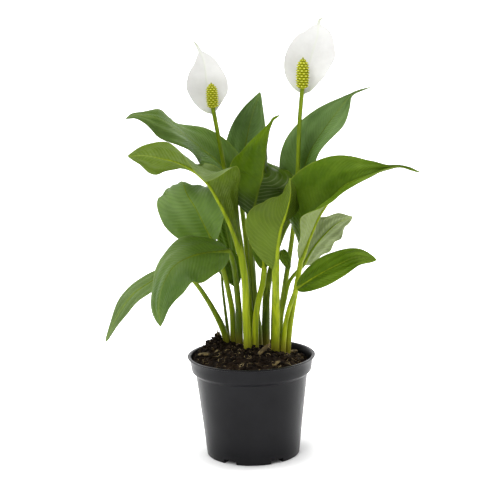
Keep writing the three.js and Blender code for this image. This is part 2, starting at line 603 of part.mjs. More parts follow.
// A thin closed sheet: both faces are split into triangles alike, and a keel runs under the
// midrib, from the stalk's thickness at the base to nothing at the tip.
function blade(item, thickness, rows, keelDepth) {
  const surface = bladeSurface(item);
  const columns = 2 * BLADE_COLUMNS;
  const sideways = (c) => {
    const s = (2 * c) / columns - 1;
    return Math.sign(s) * Math.abs(s) ** 1.15;
  };
  const du = 0.02;
  const ds = 0.2;
  const clamp = THREE.MathUtils.clamp;
  const normalAt = (u, s) => {
    const along = surface(clamp(u + du, 0, 1 - du), s).sub(surface(clamp(u - du, du, 1), s));
    const wide = clamp(u, 0.1, 0.9); // where the blade is wide enough to measure across
    const across = surface(wide, Math.min(1, s + ds)).sub(surface(wide, Math.max(-1, s - ds)));
    return across.cross(along).normalize();
  };
  const top = [];
  const bottom = [];
  const place = (u, s) => {
    const middle = surface(u, s);
    const normal = normalAt(u, s);
    const keel = s === 0 && u > 0 ? keelDepth * (1 - u) ** 0.8 : 0;
    top.push(middle.clone().addScaledVector(normal, thickness / 2));
    bottom.push(middle.clone().addScaledVector(normal, -thickness / 2 - keel));
  };
  place(0, 0);
  for (let r = 1; r < rows; r++) {
    for (let c = 0; c <= columns; c++) place(r / rows, sideways(c));
  }
  place(1, 0);
  const at = (r, c) => {
    if (r === 0) return 0;
    if (r === rows) return 1 + (rows - 1) * (columns + 1);
    return 1 + (r - 1) * (columns + 1) + c;
  };
  const face = [];
  for (let c = 0; c < columns; c++) {
    face.push([0, at(1, c + 1), at(1, c)]);
    for (let r = 1; r < rows - 1; r++) {
      face.push([at(r, c), at(r, c + 1), at(r + 1, c + 1)]);
      face.push([at(r, c), at(r + 1, c + 1), at(r + 1, c)]);
    }
    face.push([at(rows - 1, c), at(rows - 1, c + 1), at(rows, 0)]);
  }
  const rim = [];
  for (let r = 0; r < rows; r++) rim.push(at(r, columns));
  for (let r = rows; r > 0; r--) rim.push(at(r, 0));
  const below = top.length;
  const triangles = [];
  for (const [a, b, c] of face) {
    triangles.push(a, b, c, below + a, below + c, below + b);
  }
  rim.forEach((a, i) => {
    const b = rim[(i + 1) % rim.length];
    triangles.push(a, below + a, below + b, a, below + b, b);
  });
  return fromLists([...top, ...bottom], triangles);
}

// ---------------------------------------------------------------- spadix

// A blunt spike covered with florets: a lattice of diamonds, each with its middle raised.
function spadix({ bottom, top, radius }) {
  const axis = vec(top).sub(vec(bottom));
  const length = axis.length();
  const turn = new THREE.Quaternion().setFromUnitVectors(Z, axis.normalize());
  const girth = (v) => {
    const belly = 1 - 0.28 * Math.abs(2 * v - 0.85) ** 4.5;
    const crown = Math.min(1, Math.sqrt(7 * (1.03 - v)));
    return radius * belly * crown;
  };
  const at = (v, angle, r) => new THREE.Vector3(r * Math.cos(angle), r * Math.sin(angle), GAP + v * length)
    .applyQuaternion(turn)
    .add(vec(bottom));
  const angleOf = (row, side) => (2 * Math.PI * (side + 0.5 * (row % 2))) / FLORETS_AROUND;
  const corner = (row, side) => row * FLORETS_AROUND + (side % FLORETS_AROUND);

  const positions = [];
  for (let row = 0; row <= FLORET_ROWS; row++) {
    const v = row / FLORET_ROWS;
    for (let side = 0; side < FLORETS_AROUND; side++) {
      positions.push(at(v, angleOf(row, side), girth(v) - FLORET_GROOVE));
    }
  }
  const triangles = [];
  for (let row = 1; row < FLORET_ROWS; row++) {
    const v = row / FLORET_ROWS;
    for (let side = 0; side < FLORETS_AROUND; side++) {
      const apex = positions.length;
      positions.push(at(v, angleOf(row, side + 0.5), girth(v) + FLORET_RISE));
      const left = corner(row, side);
      const right = corner(row, side + 1);
      const between = side + (row % 2);
      const low = corner(row - 1, between);
      const high = corner(row + 1, between);
      triangles.push(left, low, apex, low, right, apex, right, high, apex, high, left, apex);
    }
  }
  const base = positions.length;
  positions.push(at(0, 0, 0));
  const tip = positions.length;
  positions.push(at(1 + FLORET_RISE / length, 0, 0));
  for (let side = 0; side < FLORETS_AROUND; side++) {
    const a = corner(0, side);
    const b = corner(0, side + 1);
    triangles.push(base, b, a, a, b, corner(1, side));
    const c = corner(FLORET_ROWS, side);
    const d = corner(FLORET_ROWS, side + 1);
    triangles.push(tip, c, d, d, c, corner(FLORET_ROWS - 1, side + 1));
  }
  return fromLists(positions, triangles);
}

// ---------------------------------------------------------------- the part

const part = new THREE.Group();

function add(name, geometry, [color, roughness]) {
  const mesh = new THREE.Mesh(geometry, finish(color, roughness));
  mesh.name = name;
  part.add(mesh);
}

add('pot', fromManifold(pot()), POT_BLACK);

let soil = soilBlock().intersect(potRoom(GAP));
for (const item of CHIPS) {
  soil = soil.subtract(toManifold(chip(item, GAP)));
  add(item.name, chip(item, 0), BARK_BROWN);
}
for (const item of [...LEAVES, ...FLOWERS]) {
  const [[x, y, z], ...rest] = item.stalk;
  const socket = { ...item, stalk: [[x, y, z - GAP], ...rest] };
  soil = soil.subtract(toManifold(stalk(socket, SOCKET_GAP)));
  add(`${item.name}_stalk`, stalk(item, 0), STALK_GREEN);
}
add('soil', fromManifold(soil), SOIL_BROWN);

for (const item of LEAVES) {
  const keel = BLADE_KEEL * item.radii[1];
  add(`${item.name}_blade`, blade(item, BLADE_THICKNESS, BLADE_ROWS, keel), LEAF_GREEN);
}
for (const item of FLOWERS) {
  add(`${item.name}_spathe`, blade(item, SPATHE_THICKNESS, SPATHE_ROWS, SPATHE_KEEL), SPATHE_WHITE);
  add(`${item.name}_spadix`, spadix(item.spadix), SPADIX_GREEN);
}

export default part;
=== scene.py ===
"""Looks for the potted peace lily: camera, studio, finer leaves, blooms, soil and pot."""

import math
import random
from collections import namedtuple

import bmesh
import bpy
import numpy as np
from mathutils import Matrix, Vector, noise


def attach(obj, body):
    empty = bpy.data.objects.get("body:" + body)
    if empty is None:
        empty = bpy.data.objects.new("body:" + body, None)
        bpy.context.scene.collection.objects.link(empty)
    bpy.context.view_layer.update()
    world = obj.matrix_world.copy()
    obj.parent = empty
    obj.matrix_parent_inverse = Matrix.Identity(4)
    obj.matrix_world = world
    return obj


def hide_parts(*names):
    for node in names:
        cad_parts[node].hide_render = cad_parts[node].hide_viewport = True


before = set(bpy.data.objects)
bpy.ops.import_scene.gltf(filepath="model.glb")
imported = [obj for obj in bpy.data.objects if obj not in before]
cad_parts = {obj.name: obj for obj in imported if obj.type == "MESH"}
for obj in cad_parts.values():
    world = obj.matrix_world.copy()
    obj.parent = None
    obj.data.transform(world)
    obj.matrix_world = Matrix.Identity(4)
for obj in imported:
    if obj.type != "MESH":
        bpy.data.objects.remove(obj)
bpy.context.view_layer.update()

MM = 0.001
TAU = math.tau

# ---------------- the plant, in millimetres

# The same leaves and blooms as in the part. tone picks the blade's greens and stalk_tone the
# stalk's. half is half the blade's width. belly shapes its outline: rise, fall and the share that
# is only drip tip. wave is the height, count and phase of its margin's waves. radii are those of
# the stalk at its foot and its neck. stalk is its centre line. blade is the midrib from base to
# tip, a line a point: the place, the way that the upper side faces, and the degrees by which the
# left half rises at the midrib and the margin, and then the right half. A bloom's blade is its
# spathe, and spadix is the bottom, top and radius of its spike.
Growth = namedtuple("Growth", "name tone stalk_tone half belly wave radii stalk blade spadix",
                    defaults=[None])
LEAVES, FLOWERS = [], []


def grow(group, *values):
    group.append(Growth(*values))


grow(LEAVES, "leaf_01", "deep", "green", 25, (0.75, 1.05, 0), (2.4, 2.6, 0.35), (3.6, 2.2), [
    (-3, 20, 87), (-2, 21, 100), (-1, 29, 141), (-2, 34, 188),
], [
    (-7, 38, 241,  -0.3, -0.5, 0.8,  45, 50, 22, 20),
    (-26, 38, 271,  -0.2, -0.6, 0.8,  40, 36, 16, 4),
    (-44, 30, 288,  -0.1, -0.6, 0.8,  12, 8, 10, -2),
    (-63, 13, 306,  0, -0.5, 0.9,  -18, -34, 5, -7),
    (-78, 0, 317,  0.05, -0.6, 0.8,  -30, -48, 0, -14),
    (-92, -6, 321,  0.1, -0.55, 0.85,  -14, -22, -5, -12),
    (-101, -9, 322,  0.2, -0.5, 0.8,  -10, -10, -5, -10),
    (-109, -11, 319,  0.2, -0.5, 0.8,  0, -10, 0, -10),
])
grow(LEAVES, "leaf_02", "silver", "pale", 34, (1.4, 0.9, 0), (1.8, 3.2, 0.2), (4, 3.3), [
    (-3, 3, 82), (-3, 3, 96), (-4, 3, 132), (-4, 1, 161),
], [
    (-7, 0, 189,  0.25, 0.95, 0.1,  50, 60, 85, 150),
    (-15, -4, 215,  0.25, 0.95, 0.15,  62, 66, 85, 150),
    (-21, -7, 230,  0.2, 0.95, 0.2,  58, 62, 85, 150),
    (-27, -10, 243,  0.2, 0.95, 0.2,  42, 48, 88, 158),
    (-35, -14, 258,  0.15, 0.95, 0.25,  5, 5, 84, 140),
    (-43, -18, 267,  0.05, 0.88, 0.4,  -20, -145, 60, 80),
    (-51, -22, 274,  0, 0.85, 0.5,  -32, -120, 46, 52),
    (-64, -26, 281,  0, 0.8, 0.6,  -15, -85, 24, 30),
    (-78, -30, 285,  0, 0.72, 0.7,  0, -20, 4, 6),
    (-91, -33, 288,  0, 0.7, 0.72,  0, -5, 0, 0),
    (-106, -36, 288,  0, 0.7, 0.72,  0, 0, 0, 0),
])
grow(LEAVES, "leaf_03", "cool", "green", 34, (0.72, 1, 0), (0.8, 2, 0.8), (3.4, 2.2), [
    (-17, 33, 89), (-17, 28, 127), (-19, 22, 145), (-25, 16, 175),
], [
    (-33, 20, 198,  -0.2, -0.95, 0.2,  14, 14, 40, 40),
    (-41, 22, 214,  -0.1, -0.95, 0.2,  8, 8, 38, 38),
    (-49, 23, 231,  -0.1, -0.95, 0.25,  0, 0, 22, 5),
    (-57, 27, 244,  -0.1, -0.85, 0.5,  -8, -10, -13, -36),
    (-61, 35, 254,  -0.1, -0.4, 0.9,  -22, -22, -26, -38),
    (-63, 45, 254,  -0.1, 0.2, 0.95,  -20, -20, -30, -40),
    (-64, 58, 244,  -0.1, 0.7, 0.7,  0, 0, 0, 0),
])
grow(LEAVES, "leaf_04", "deep", "dark", 27, (0.7, 1, 0), (2.2, 3, 0.3), (3.8, 2.4), [
    (-11, 24, 91), (-11, 24, 105), (-11, 22, 135), (-14, 6, 177),
], [
    (-18, -8, 195,  0, -0.8, 0.6,  0, -12, 5, -7),
    (-35, -22, 197,  -0.05, -0.75, 0.65,  -5, -17, 0, -12),
    (-51, -33, 196,  -0.15, -0.7, 0.7,  -10, -22, -5, -17),
    (-67, -41, 189,  -0.35, -0.65, 0.65,  -12, -24, -10, -22),
    (-78, -46, 172,  -0.5, -0.7, 0.4,  -8, -20, -22, -34),
    (-82, -48, 155,  -0.4, -0.85, 0.1,  0, -12, -20, -32),
    (-81, -50, 135,  -0.3, -0.95, 0,  0, -12, 0, -12),
])
grow(LEAVES, "leaf_05", "soft", "green", 11, (0.7, 0.95, 0), (0.8, 3, 0.3), (3.6, 2), [
    (-23, 28, 91), (-24, 27, 105), (-35, 20, 134), (-50, 12, 161),
], [
    (-62, 6, 176,  -0.2, -0.6, 0.75,  12, -3, 8, -7),
    (-78, 0, 174,  -0.3, -0.7, 0.7,  10, -5, 4, -11),
    (-94, -5, 166,  -0.5, -0.7, 0.55,  8, -7, 0, -15),
    (-108, -9, 157,  -0.55, -0.75, 0.4,  5, -10, 0, -15),
    (-122, -12, 139,  -0.65, -0.7, 0.3,  5, -10, 0, -15),
    (-135, -14, 113,  -0.7, -0.65, 0.2,  0, -15, 0, -15),
])
grow(LEAVES, "leaf_06", "mid", "green", 11, (0.8, 1, 0), (0.4, 2, 0), (2.6, 1.4), [
    (-10, 35, 89), (-11, 36, 103), (-13, 42, 138),
], [
    (-16, 47, 173,  -0.5, -0.8, 0.2,  20, 10, 20, 10),
    (-19, 49, 193,  -0.5, -0.8, 0.2,  15, 5, 15, 5),
    (-22, 50, 210,  -0.4, -0.8, 0.3,  10, 0, 10, 0),
    (-23, 48, 227,  -0.3, -0.8, 0.4,  0, -10, 0, -10),
])
grow(LEAVES, "leaf_07", "mid", "dark", 12, (0.8, 0.9, 0), (0.4, 2, 0), (1.8, 1.2), [
    (-22, 38, 90), (-22, 37, 104), (-24, 30, 131), (-26, 24, 159),
], [
    (-26, 26, 178,  0.1, -0.6, 0.8,  5, -5, 5, -5),
    (-24, 33, 184,  0.2, -0.6, 0.8,  5, -5, 5, -5),
    (-19, 39, 172,  0.1, -0.9, 0.4,  5, -5, 5, -5),
    (-12, 40, 151,  0.2, -0.9, 0.3,  0, -10, 0, -10),
])
grow(LEAVES, "leaf_08", "slate", "dark", 19, (0.85, 1.05, 0), (0.6, 2, 0), (3.6, 2.2), [
    (5, 38, 87), (5, 38, 101), (4, 42, 148), (2, 46, 196),
], [
    (-1, 50, 239,  0.1, -0.95, 0.2,  15, 3, 15, 3),
    (-4, 54, 265,  0.1, -0.95, 0.2,  10, -2, 10, -2),
    (0, 56, 291,  0.1, -0.95, 0.2,  6, -6, 6, -6),
    (6, 54, 315,  0.2, -0.95, 0.2,  3, -9, 3, -9),
    (14, 50, 337,  0.3, -0.9, 0.2,  0, -12, 0, -12),
])
grow(LEAVES, "leaf_09", "bright", "dark", 33, (0.9, 1.45, 0.08), (1, 2, 0.6), (3.4, 2.4), [
    (8, 19, 87), (8, 19, 101), (5, 20, 143), (2, 21, 186),
], [
    (3, 18, 222,  -0.2, -0.95, 0.3,  10, 0, 0, 0),
    (7, 14, 236,  -0.2, -0.95, 0.3,  12, 10, -8, -5),
    (11, 11, 252,  -0.2, -0.95, 0.3,  14, 12, -16, -18),
    (14, 9, 261,  -0.2, -0.9, 0.45,  16, 14, -10, -8),
    (15, 8, 267,  -0.2, -0.9, 0.4,  14, 10, -88, -140),
    (17, 6, 277,  -0.2, -0.96, 0.2,  8, 0, -95, -150),
    (19, 3, 293,  -0.2, -0.96, 0.15,  8, 0, -105, -150),
    (22, 0, 308,  -0.2, -0.96, 0.2,  8, 0, -100, -120),
    (25, -2, 315,  -0.2, -0.9, 0.4,  0, 0, -80, -80),
    (31, -4, 319,  0, -0.9, 0.4,  0, 0, 0, 0),
])
grow(LEAVES, "leaf_10", "mid", "pale", 34, (1.1, 1.25, 0), (0.6, 2, 0.3), (4.2, 3.4), [
    (23, 3, 81), (23, 2, 95), (24, -3, 128), (24, -12, 158),
], [
    (24, -17, 176,  0.15, 0.95, 0.2,  80, 95, 0, 0),
    (26, -26, 201,  0.12, 0.95, 0.2,  85, 100, 10, 20),
    (29, -32, 219,  0.08, 0.95, 0.2,  80, 84, 15, 30),
    (32, -34, 227,  0.08, 0.95, 0.2,  68, 72, 42, 62),
    (35, -37, 236,  0.05, 0.95, 0.2,  68, 74, 62, 80),
    (38, -40, 249,  0.05, 0.95, 0.25,  68, 76, 66, 84),
    (38, -42, 266,  0.05, 0.9, 0.4,  60, 60, 60, 60),
])
grow(LEAVES, "leaf_11", "mid", "pale", 8, (0.6, 0.7, 0), (0.4, 2, 0), (3.5, 2.7), [
    (4, 8, 85), (4, 8, 99), (5, 7, 126), (8, 6, 145), (12, 8, 160),
], [
    (14, 8, 174,  -0.3, -0.9, 0.3,  10, 0, 10, 0),
    (12, 10, 187,  -0.3, -0.9, 0.3,  10, 0, 10, 0),
    (10, 12, 199,  -0.3, -0.9, 0.3,  5, -5, 5, -5),
    (12, 14, 211,  -0.2, -0.9, 0.3,  0, -10, 0, -10),
])
grow(LEAVES, "leaf_12", "slate", "dark", 26, (0.9, 1.15, 0.12), (1.6, 2.5, 0.3), (4.2, 2.4), [
    (14, 26, 87), (15, 28, 123), (16, 34, 144), (22, 43, 172), (34, 44, 205),
], [
    (47, 38, 227,  0.1, -0.95, 0.3,  15, 5, 50, 50),
    (51, 34, 254,  0.1, -0.95, 0.3,  10, 0, 60, 65),
    (59, 30, 280,  0.05, -0.9, 0.4,  8, -2, 66, 70),
    (74, 26, 304,  0, -0.85, 0.5,  0, -10, 44, 50),
    (90, 22, 325,  0.2, -0.75, 0.6,  0, -10, -5, 0),
    (99, 20, 335,  0.3, -0.6, 0.7,  0, 0, 10, 10),
    (116, 20, 341,  0.5, -0.4, 0.7,  0, 0, 0, 0),
])
grow(LEAVES, "leaf_13", "vivid", "pale", 41, (1.15, 2, 0.06), (1, 2.5, 0.3), (3.2, 2.5), [
    (33, 8, 79), (34, 8, 93), (37, 6, 121), (41, 3, 145), (45, 0, 167),
], [
    (48, -2, 184,  -0.5, -0.3, 0.6,  5, -5, 50, 45),
    (56, -8, 207,  -0.5, -0.4, 0.7,  26, 18, 42, 42),
    (67, -14, 231,  -0.35, -0.55, 0.75,  44, 36, 54, 54),
    (86, -26, 255,  -0.05, -0.85, 0.5,  26, 12, 61, 56),
    (111, -35, 267,  0, -0.75, 0.65,  22, 22, 46, 42),
    (125, -37, 271,  0, -0.72, 0.68,  65, 65, 55, 60),
    (136, -38, 273,  0.1, -0.7, 0.7,  50, 50, 50, 50),
    (154, -40, 268,  0.1, -0.7, 0.7,  0, 0, 0, 0),
])
grow(LEAVES, "leaf_14", "pale", "green", 16, (0.6, 0.75, 0), (2.6, 3.4, 0.2), (2.8, 1.8), [
    (28, 12, 81), (28, 12, 95), (29, 14, 126), (33, 17, 144), (38, 22, 160),
], [
    (51, 24, 174,  -0.3, 0.9, 0.4,  0, -5, 30, 30),
    (60, 22, 190,  -0.3, 0.9, 0.4,  0, -5, 35, 30),
    (72, 18, 205,  -0.3, 0.9, 0.4,  -5, -10, 35, 30),
    (84, 14, 216,  -0.2, 0.8, 0.6,  -5, -10, 25, 20),
    (97, 10, 222,  -0.1, 0.7, 0.7,  0, -5, 0, -5),
])
grow(LEAVES, "leaf_15", "vivid", "pale", 15, (0.6, 0.8, 0), (0.5, 2, 0), (2.6, 2), [
    (30, 2, 82), (30, 2, 96), (33, 0, 125), (38, -6, 145),
], [
    (43, -12, 159,  -0.1, -0.7, 0.7,  10, -2, 10, -2),
    (59, -20, 171,  -0.1, -0.75, 0.7,  8, -4, 8, -4),
    (79, -27, 183,  0, -0.75, 0.7,  4, -8, 4, -8),
    (98, -32, 191,  0.1, -0.75, 0.7,  5, -7, 5, -7),
    (115, -36, 189,  0.2, -0.7, 0.7,  0, -12, 0, -12),
])
grow(LEAVES, "leaf_16", "mid", "dark", 5, (0.8, 0.9, 0), (0.3, 2, 0), (2, 1.1), [
    (21, 32, 87), (21, 32, 101), (22, 30, 140), (24, 30, 171),
], [
    (28, 30, 186,  0.2, -0.6, 0.8,  5, 0, 5, 0),
    (30, 25, 188,  0.2, -0.8, 0.6,  5, 0, 5, 0),
    (34, 23, 181,  0.2, -0.9, 0.4,  5, 0, 5, 0),
    (38, 23, 171,  0.2, -0.9, 0.3,  0, -5, 0, -5),
])

grow(FLOWERS, "flower_left", "white", "green", 20, (0.7, 0.9, 0.17), (0.8, 1.5, 0.3), (2.6, 2), [
    (2, 15, 87), (2, 15, 101), (-2, 20, 152), (-10, 25, 214), (-21, 21, 269), (-27, 12, 307),
], [
    (-31, 11, 320,  0, -0.95, 0.2,  20, 40, 20, 40),
    (-34, 16, 333,  0.05, -0.95, 0.2,  22, 40, 12, 30),
    (-35, 18, 344,  0.05, -0.95, 0.15,  12, 30, 10, 30),
    (-36, 18, 355,  0.05, -0.95, 0.1,  12, 30, 10, 34),
    (-37, 16, 366,  0.05, -0.95, 0.1,  10, 30, 8, 40),
    (-39, 14, 373,  0.05, -0.95, 0.1,  10, 20, 10, 20),
    (-41, 13, 378,  0, -0.95, 0.1,  0, 0, 0, 0),
    (-44, 11, 384,  0, -0.9, 0.3,  0, 0, 0, 0),
    (-47, 9, 387,  0, -0.9, 0.3,  0, 0, 0, 0),
], ((-30, 7, 326), (-31, 6, 349), 5))
grow(FLOWERS, "flower_right", "white", "green", 24, (0.55, 0.65, 0.12), (0.8, 1.5, 0.3), (2.6, 2), [
    (25, 40, 88), (25, 40, 102), (33, 35, 148), (42, 27, 208), (47, 16, 266), (49, 8, 311),
], [
    (53, 9, 336,  0, -0.95, 0.2,  15, 30, 30, 50),
    (55, 15, 346,  0, -0.95, 0.2,  12, 25, 36, 60),
    (58, 18, 358,  0, -0.95, 0.15,  10, 20, 32, 62),
    (61, 19, 369,  0, -0.95, 0.1,  8, 15, 24, 52),
    (64, 18, 379,  0, -0.95, 0.1,  8, 12, 12, 20),
    (67, 16, 389,  0, -0.95, 0.1,  5, 5, 0, 25),
    (68, 14, 398,  0, -0.9, 0.3,  0, 0, 0, 0),
    (69, 12, 403,  0, -0.9, 0.3,  0, 0, 0, 0),
    (73, 10, 405,  0, -0.9, 0.3,  0, 0, 0, 0),
], ((52, 5, 342), (53, 3, 370), 5.4))

# ---------------- curves

SAMPLES = np.linspace(0, 1, 201)  # where a curve is measured
TANGENT_STEP = 1e-4  # how far to either side a tangent is measured


class Spline:
    """A Catmull-Rom curve through points, the same one that the part's curves are."""

    def __init__(self, points, centripetal=False):
        p = np.asarray(points, float)
        self.p = np.concatenate([[2 * p[0] - p[1]], p, [2 * p[-1] - p[-2]]])
        self.centripetal = centripetal
        steps = np.linalg.norm(np.diff(self.at(SAMPLES)[:, :3], axis=0), axis=1)
        self.walked = np.concatenate([[0], np.cumsum(steps)])
        self.length = self.walked[-1]

    def at(self, t):
        last = len(self.p) - 3
        place = np.asarray(t, float) * last
        i = np.clip(np.floor(place).astype(int), 0, last - 1)
        w = (place - i)[..., None]
        p0, p1, p2, p3 = (self.p[i + k] for k in range(4))
        if self.centripetal:
            d0, d1, d2 = (np.sqrt(np.linalg.norm(b - a, axis=-1))[..., None]
                          for a, b in ((p0, p1), (p1, p2), (p2, p3)))
            m1 = ((p1 - p0) / d0 - (p2 - p0) / (d0 + d1) + (p2 - p1) / d1) * d1
            m2 = ((p2 - p1) / d1 - (p3 - p1) / (d1 + d2) + (p3 - p2) / d2) * d1
        else:
            m1 = (p2 - p0) / 2
            m2 = (p3 - p1) / 2
        a = 2 * p1 - 2 * p2 + m1 + m2
        b = -3 * p1 + 3 * p2 - 2 * m1 - m2
        return ((a * w + b) * w + m1) * w + p1

    def share(self, u):
        """The curve's own parameter at the share u of its length."""
        return np.interp(np.asarray(u) * self.length, self.walked, SAMPLES)

    def tangent(self, t):
        after = np.minimum(t + TANGENT_STEP, 1)
        before = np.maximum(t - TANGENT_STEP, 0)
        return unit(self.at(after) - self.at(before))


def unit(v):
    return v / np.maximum(np.linalg.norm(v, axis=-1, keepdims=True), 1e-12)


def dot(a, b):
    return np.sum(a * b, axis=-1, keepdims=True)


def frames(centres, level):
    """Along a line of points: the way ahead, and the two ways across it."""
    along = unit(np.gradient(centres, axis=0))
    across = unit(np.cross(np.array(level), along))
    return along, across, np.cross(along, across)


def smooth(lo, hi, x):
    t = np.clip((x - lo) / (hi - lo), 0, 1)
    return t * t * (3 - 2 * t)


def window(x, start, full, fall, end):
    """1 from full to fall, and 0 before start and after end."""
    return smooth(start, full, x) * (1 - smooth(fall, end, x))


# ---------------- blades

# As in the part.
DRIP_TIP = 1.8  # half the width of a drip tip where it starts
DRIP_SHARE = 0.04  # least share of a blade's length over which it thins out
DRIP_TAPER = 0.6
SLOPE_STEPS = 8  # steps that add up a blade's slope from the midrib outwards
LEFT_WAVE_LEAD = 0.35  # how far the left margin's waves are ahead of the right one's


class Blade:
    """The middle surface of a blade or spathe at u along the midrib and s across it."""

    def __init__(self, item):
        keys = np.array(item.blade, float)
        self.spine = Spline(keys[:, :3], centripetal=True)
        self.faces = Spline(keys[:, 3:6])
        self.lifts = Spline(keys[:, 6:10])
        self.item = item

    def width(self, u):
        """Half the width at u. The last share, tail, is only a thin drip tip."""
        rise, fall, tail = self.item.belly
        v = np.minimum(u / (1 - tail), 1)
        peak = rise / (rise + fall)
        body = (v**rise * (1 - v) ** fall) / (peak**rise * (1 - peak) ** fall)
        drip = DRIP_TIP * np.minimum((1 - u) / max(tail, DRIP_SHARE), 1) ** DRIP_TAPER
        return np.hypot(self.item.half * body, drip)

    def at(self, u, s):
        u, s = np.broadcast_arrays(u, s)
        t = self.spine.share(u)
        along = self.spine.tangent(t)
        face = self.faces.at(t)
        face = unit(face - along * dot(face, along))
        right = np.cross(along, face)
        lift = np.radians(self.lifts.at(t))
        left = s < 0
        near = np.where(left, lift[..., 0], lift[..., 2])
        far = np.where(left, lift[..., 1], lift[..., 3])
        part = np.abs(s)
        step = self.width(u) * part / SLOPE_STEPS
        out = np.zeros_like(part)
        up = np.zeros_like(part)
        for i in range(SLOPE_STEPS):
            slope = near + (far - near) * (part * (i + 0.5) / SLOPE_STEPS) ** 2
            out += step * np.cos(slope)
            up += step * np.sin(slope)
        height, count, phase = self.item.wave
        turn = TAU * (count * u + phase + np.where(left, LEFT_WAVE_LEAD, 0))
        up += height * part**2 * np.sin(turn) * np.sin(np.pi * u)
        return self.spine.at(t) + right * (np.sign(s) * out)[..., None] + face * up[..., None]

    def normal(self, u, s):
        """The way that the upper side faces there."""
        u, s = np.broadcast_arrays(u, s)
        near = np.clip(u, 0.03, 0.97)
        du, ds = 0.006, 0.03
        along = self.at(np.minimum(near + du, 0.99), s) - self.at(np.maximum(near - du, 0.01), s)
        across = self.at(near, np.minimum(s + ds, 1)) - self.at(near, np.maximum(s - ds, -1))
        return unit(np.cross(across, along))


HALF_COLUMNS = np.array([0, 0.02, 0.045, 0.08, 0.13, 0.19, 0.26, 0.34, 0.42, 0.5, 0.58, 0.66, 0.74,
                         0.82, 0.89, 0.94, 0.975, 1])
COLUMNS = np.concatenate([-HALF_COLUMNS[:0:-1], HALF_COLUMNS])
ROWS_PER_VEIN = 4
GROOVE_WIDTH = 1.1
MARGIN_THINNING = 0.55  # share of its thickness that a blade loses at the margin
# The map called ribs holds, in shares of these, the millimetres across and the count of veins.
ACROSS_SPAN = 100
VEIN_SPAN = 64


def sheet(item, thickness, spacing, relief, sweep, groove, swell):
    """A closed sheet on a blade's surface. Its rows run along the side veins, which leave the
    midrib every spacing millimetres and sweep forward; relief is how far they stand out below,
    groove how deep the midrib lies, and swell how far the blade swells between the two."""
    blade = Blade(item)
    veins = max(8, round(blade.spine.length / spacing))
    rows = veins * ROWS_PER_VEIN
    q = (np.arange(1, rows) / rows)[:, None]
    s = COLUMNS[None, :]
    part = np.abs(s)
    u = q + sweep * q**0.8 * (1 - q) * part**1.3
    normal = blade.normal(u, s)
    distance = part * blade.width(u)
    turn = TAU * (1.8 * part + 0.25 * np.sin(TAU * q) + np.where(s < 0, 0.3, 0))
    calm = window(part, 0, 0.25, 0.8, 1) * window(q, 0, 0.15, 0.75, 1)
    middle = blade.at(u, s) + normal * (swell * np.cos(turn) * calm)[..., None]

    crest = np.cos(TAU * q * veins) * window(part, 0, 0.12, 0.8, 1) * window(q, 0, 0.1, 0.85, 1)
    trough = np.exp(-((distance / GROOVE_WIDTH) ** 2)) * smooth(0, 0.08, q) * (1 - q) ** 0.5
    tender = thickness / 2 * (1 - MARGIN_THINNING * smooth(0.7, 1, part))
    top = tender - relief * crest - groove * trough
    under = tender + relief * crest + 0.5 * groove * trough

    ends = np.array([0.0, 1.0])
    caps = blade.at(ends, np.zeros(2))
    cap_half = 0.3 * thickness * blade.normal(ends, np.zeros(2))
    columns = len(COLUMNS)
    count = (rows - 1) * columns
    upper = (middle + normal * top[..., None]).reshape(-1, 3)
    lower = (middle - normal * under[..., None]).reshape(-1, 3)
    verts = np.concatenate([upper, lower, caps + cap_half, caps - cap_half])
    base, tip, base_under, tip_under = range(2 * count, 2 * count + 4)

    faces, slots = [], []

    def add(slot, *corners, flip=False):
        faces.append(corners[::-1] if flip else corners)
        slots.append(slot)

    margins = ((0, False), (columns - 1, True))
    for r in range(rows - 2):
        for a in range(r * columns, (r + 1) * columns - 1):
            b = a + columns
            add(0, a, a + 1, b + 1, b)
            add(1, count + a, count + b, count + b + 1, count + a + 1)
        for c, flip in margins:
            a = r * columns + c
            b = a + columns
            add(0, a, b, count + b, count + a, flip=flip)
    last = (rows - 2) * columns
    for c in range(columns - 1):
        add(0, base, c + 1, c)
        add(1, base_under, count + c, count + c + 1)
        add(0, tip, last + c, last + c + 1)
        add(1, tip_under, count + last + c + 1, count + last + c)
    for c, flip in margins:
        add(0, base, c, count + c, base_under, flip=flip)
        add(0, tip, tip_under, count + last + c, last + c, flip=flip)

    def both(a, b, at_base, at_tip):
        """UV pairs for the two sides and the two ends."""
        side = np.stack([np.broadcast_to(x, u.shape).ravel() for x in (a, b)], axis=1)
        return np.concatenate([side, side, [at_base, at_tip, at_base, at_tip]])

    order = q * veins / VEIN_SPAN
    signed = np.sign(s) * distance / ACROSS_SPAN + 0.5
    maps = {
        "ribs": both(signed, order, (0.5, 0), (0.5, veins / VEIN_SPAN)),
        "span": both(part, u, (0, 0), (0, 1)),
    }
    return verts, faces, slots, maps


# ---------------- making pieces


def new_mesh(name, verts, faces, *materials):
    mesh = bpy.data.meshes.new(name)
    mesh.from_pydata(verts, [], faces)
    for material in materials:
        mesh.materials.append(material)
    return mesh


def put(name, data):
    """An object in the scene that shows data."""
    thing = bpy.data.objects.new(name, data)
    bpy.context.scene.collection.objects.link(thing)
    return thing


def make_piece(name, verts, faces, materials, slot, nodes, maps=None, slots=None):
    """A mesh piece from points in millimetres. It stands for CAD nodes and rides on the root."""
    mesh = new_mesh(name, np.asarray(verts, float) * MM, faces, *materials)
    for key, pairs in (maps or {}).items():
        layer = mesh.uv_layers.new(name=key)
        at = np.zeros(len(mesh.loops), int)
        mesh.loops.foreach_get("vertex_index", at)
        layer.data.foreach_set("uv", np.asarray(pairs, float)[at].ravel())
    if slots:
        mesh.polygons.foreach_set("material_index", slots)
    shade_smooth(mesh)
    mesh.update()
    piece = put(name, mesh)
    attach(piece, "root")
    if nodes:
        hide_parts(*nodes)
    return piece


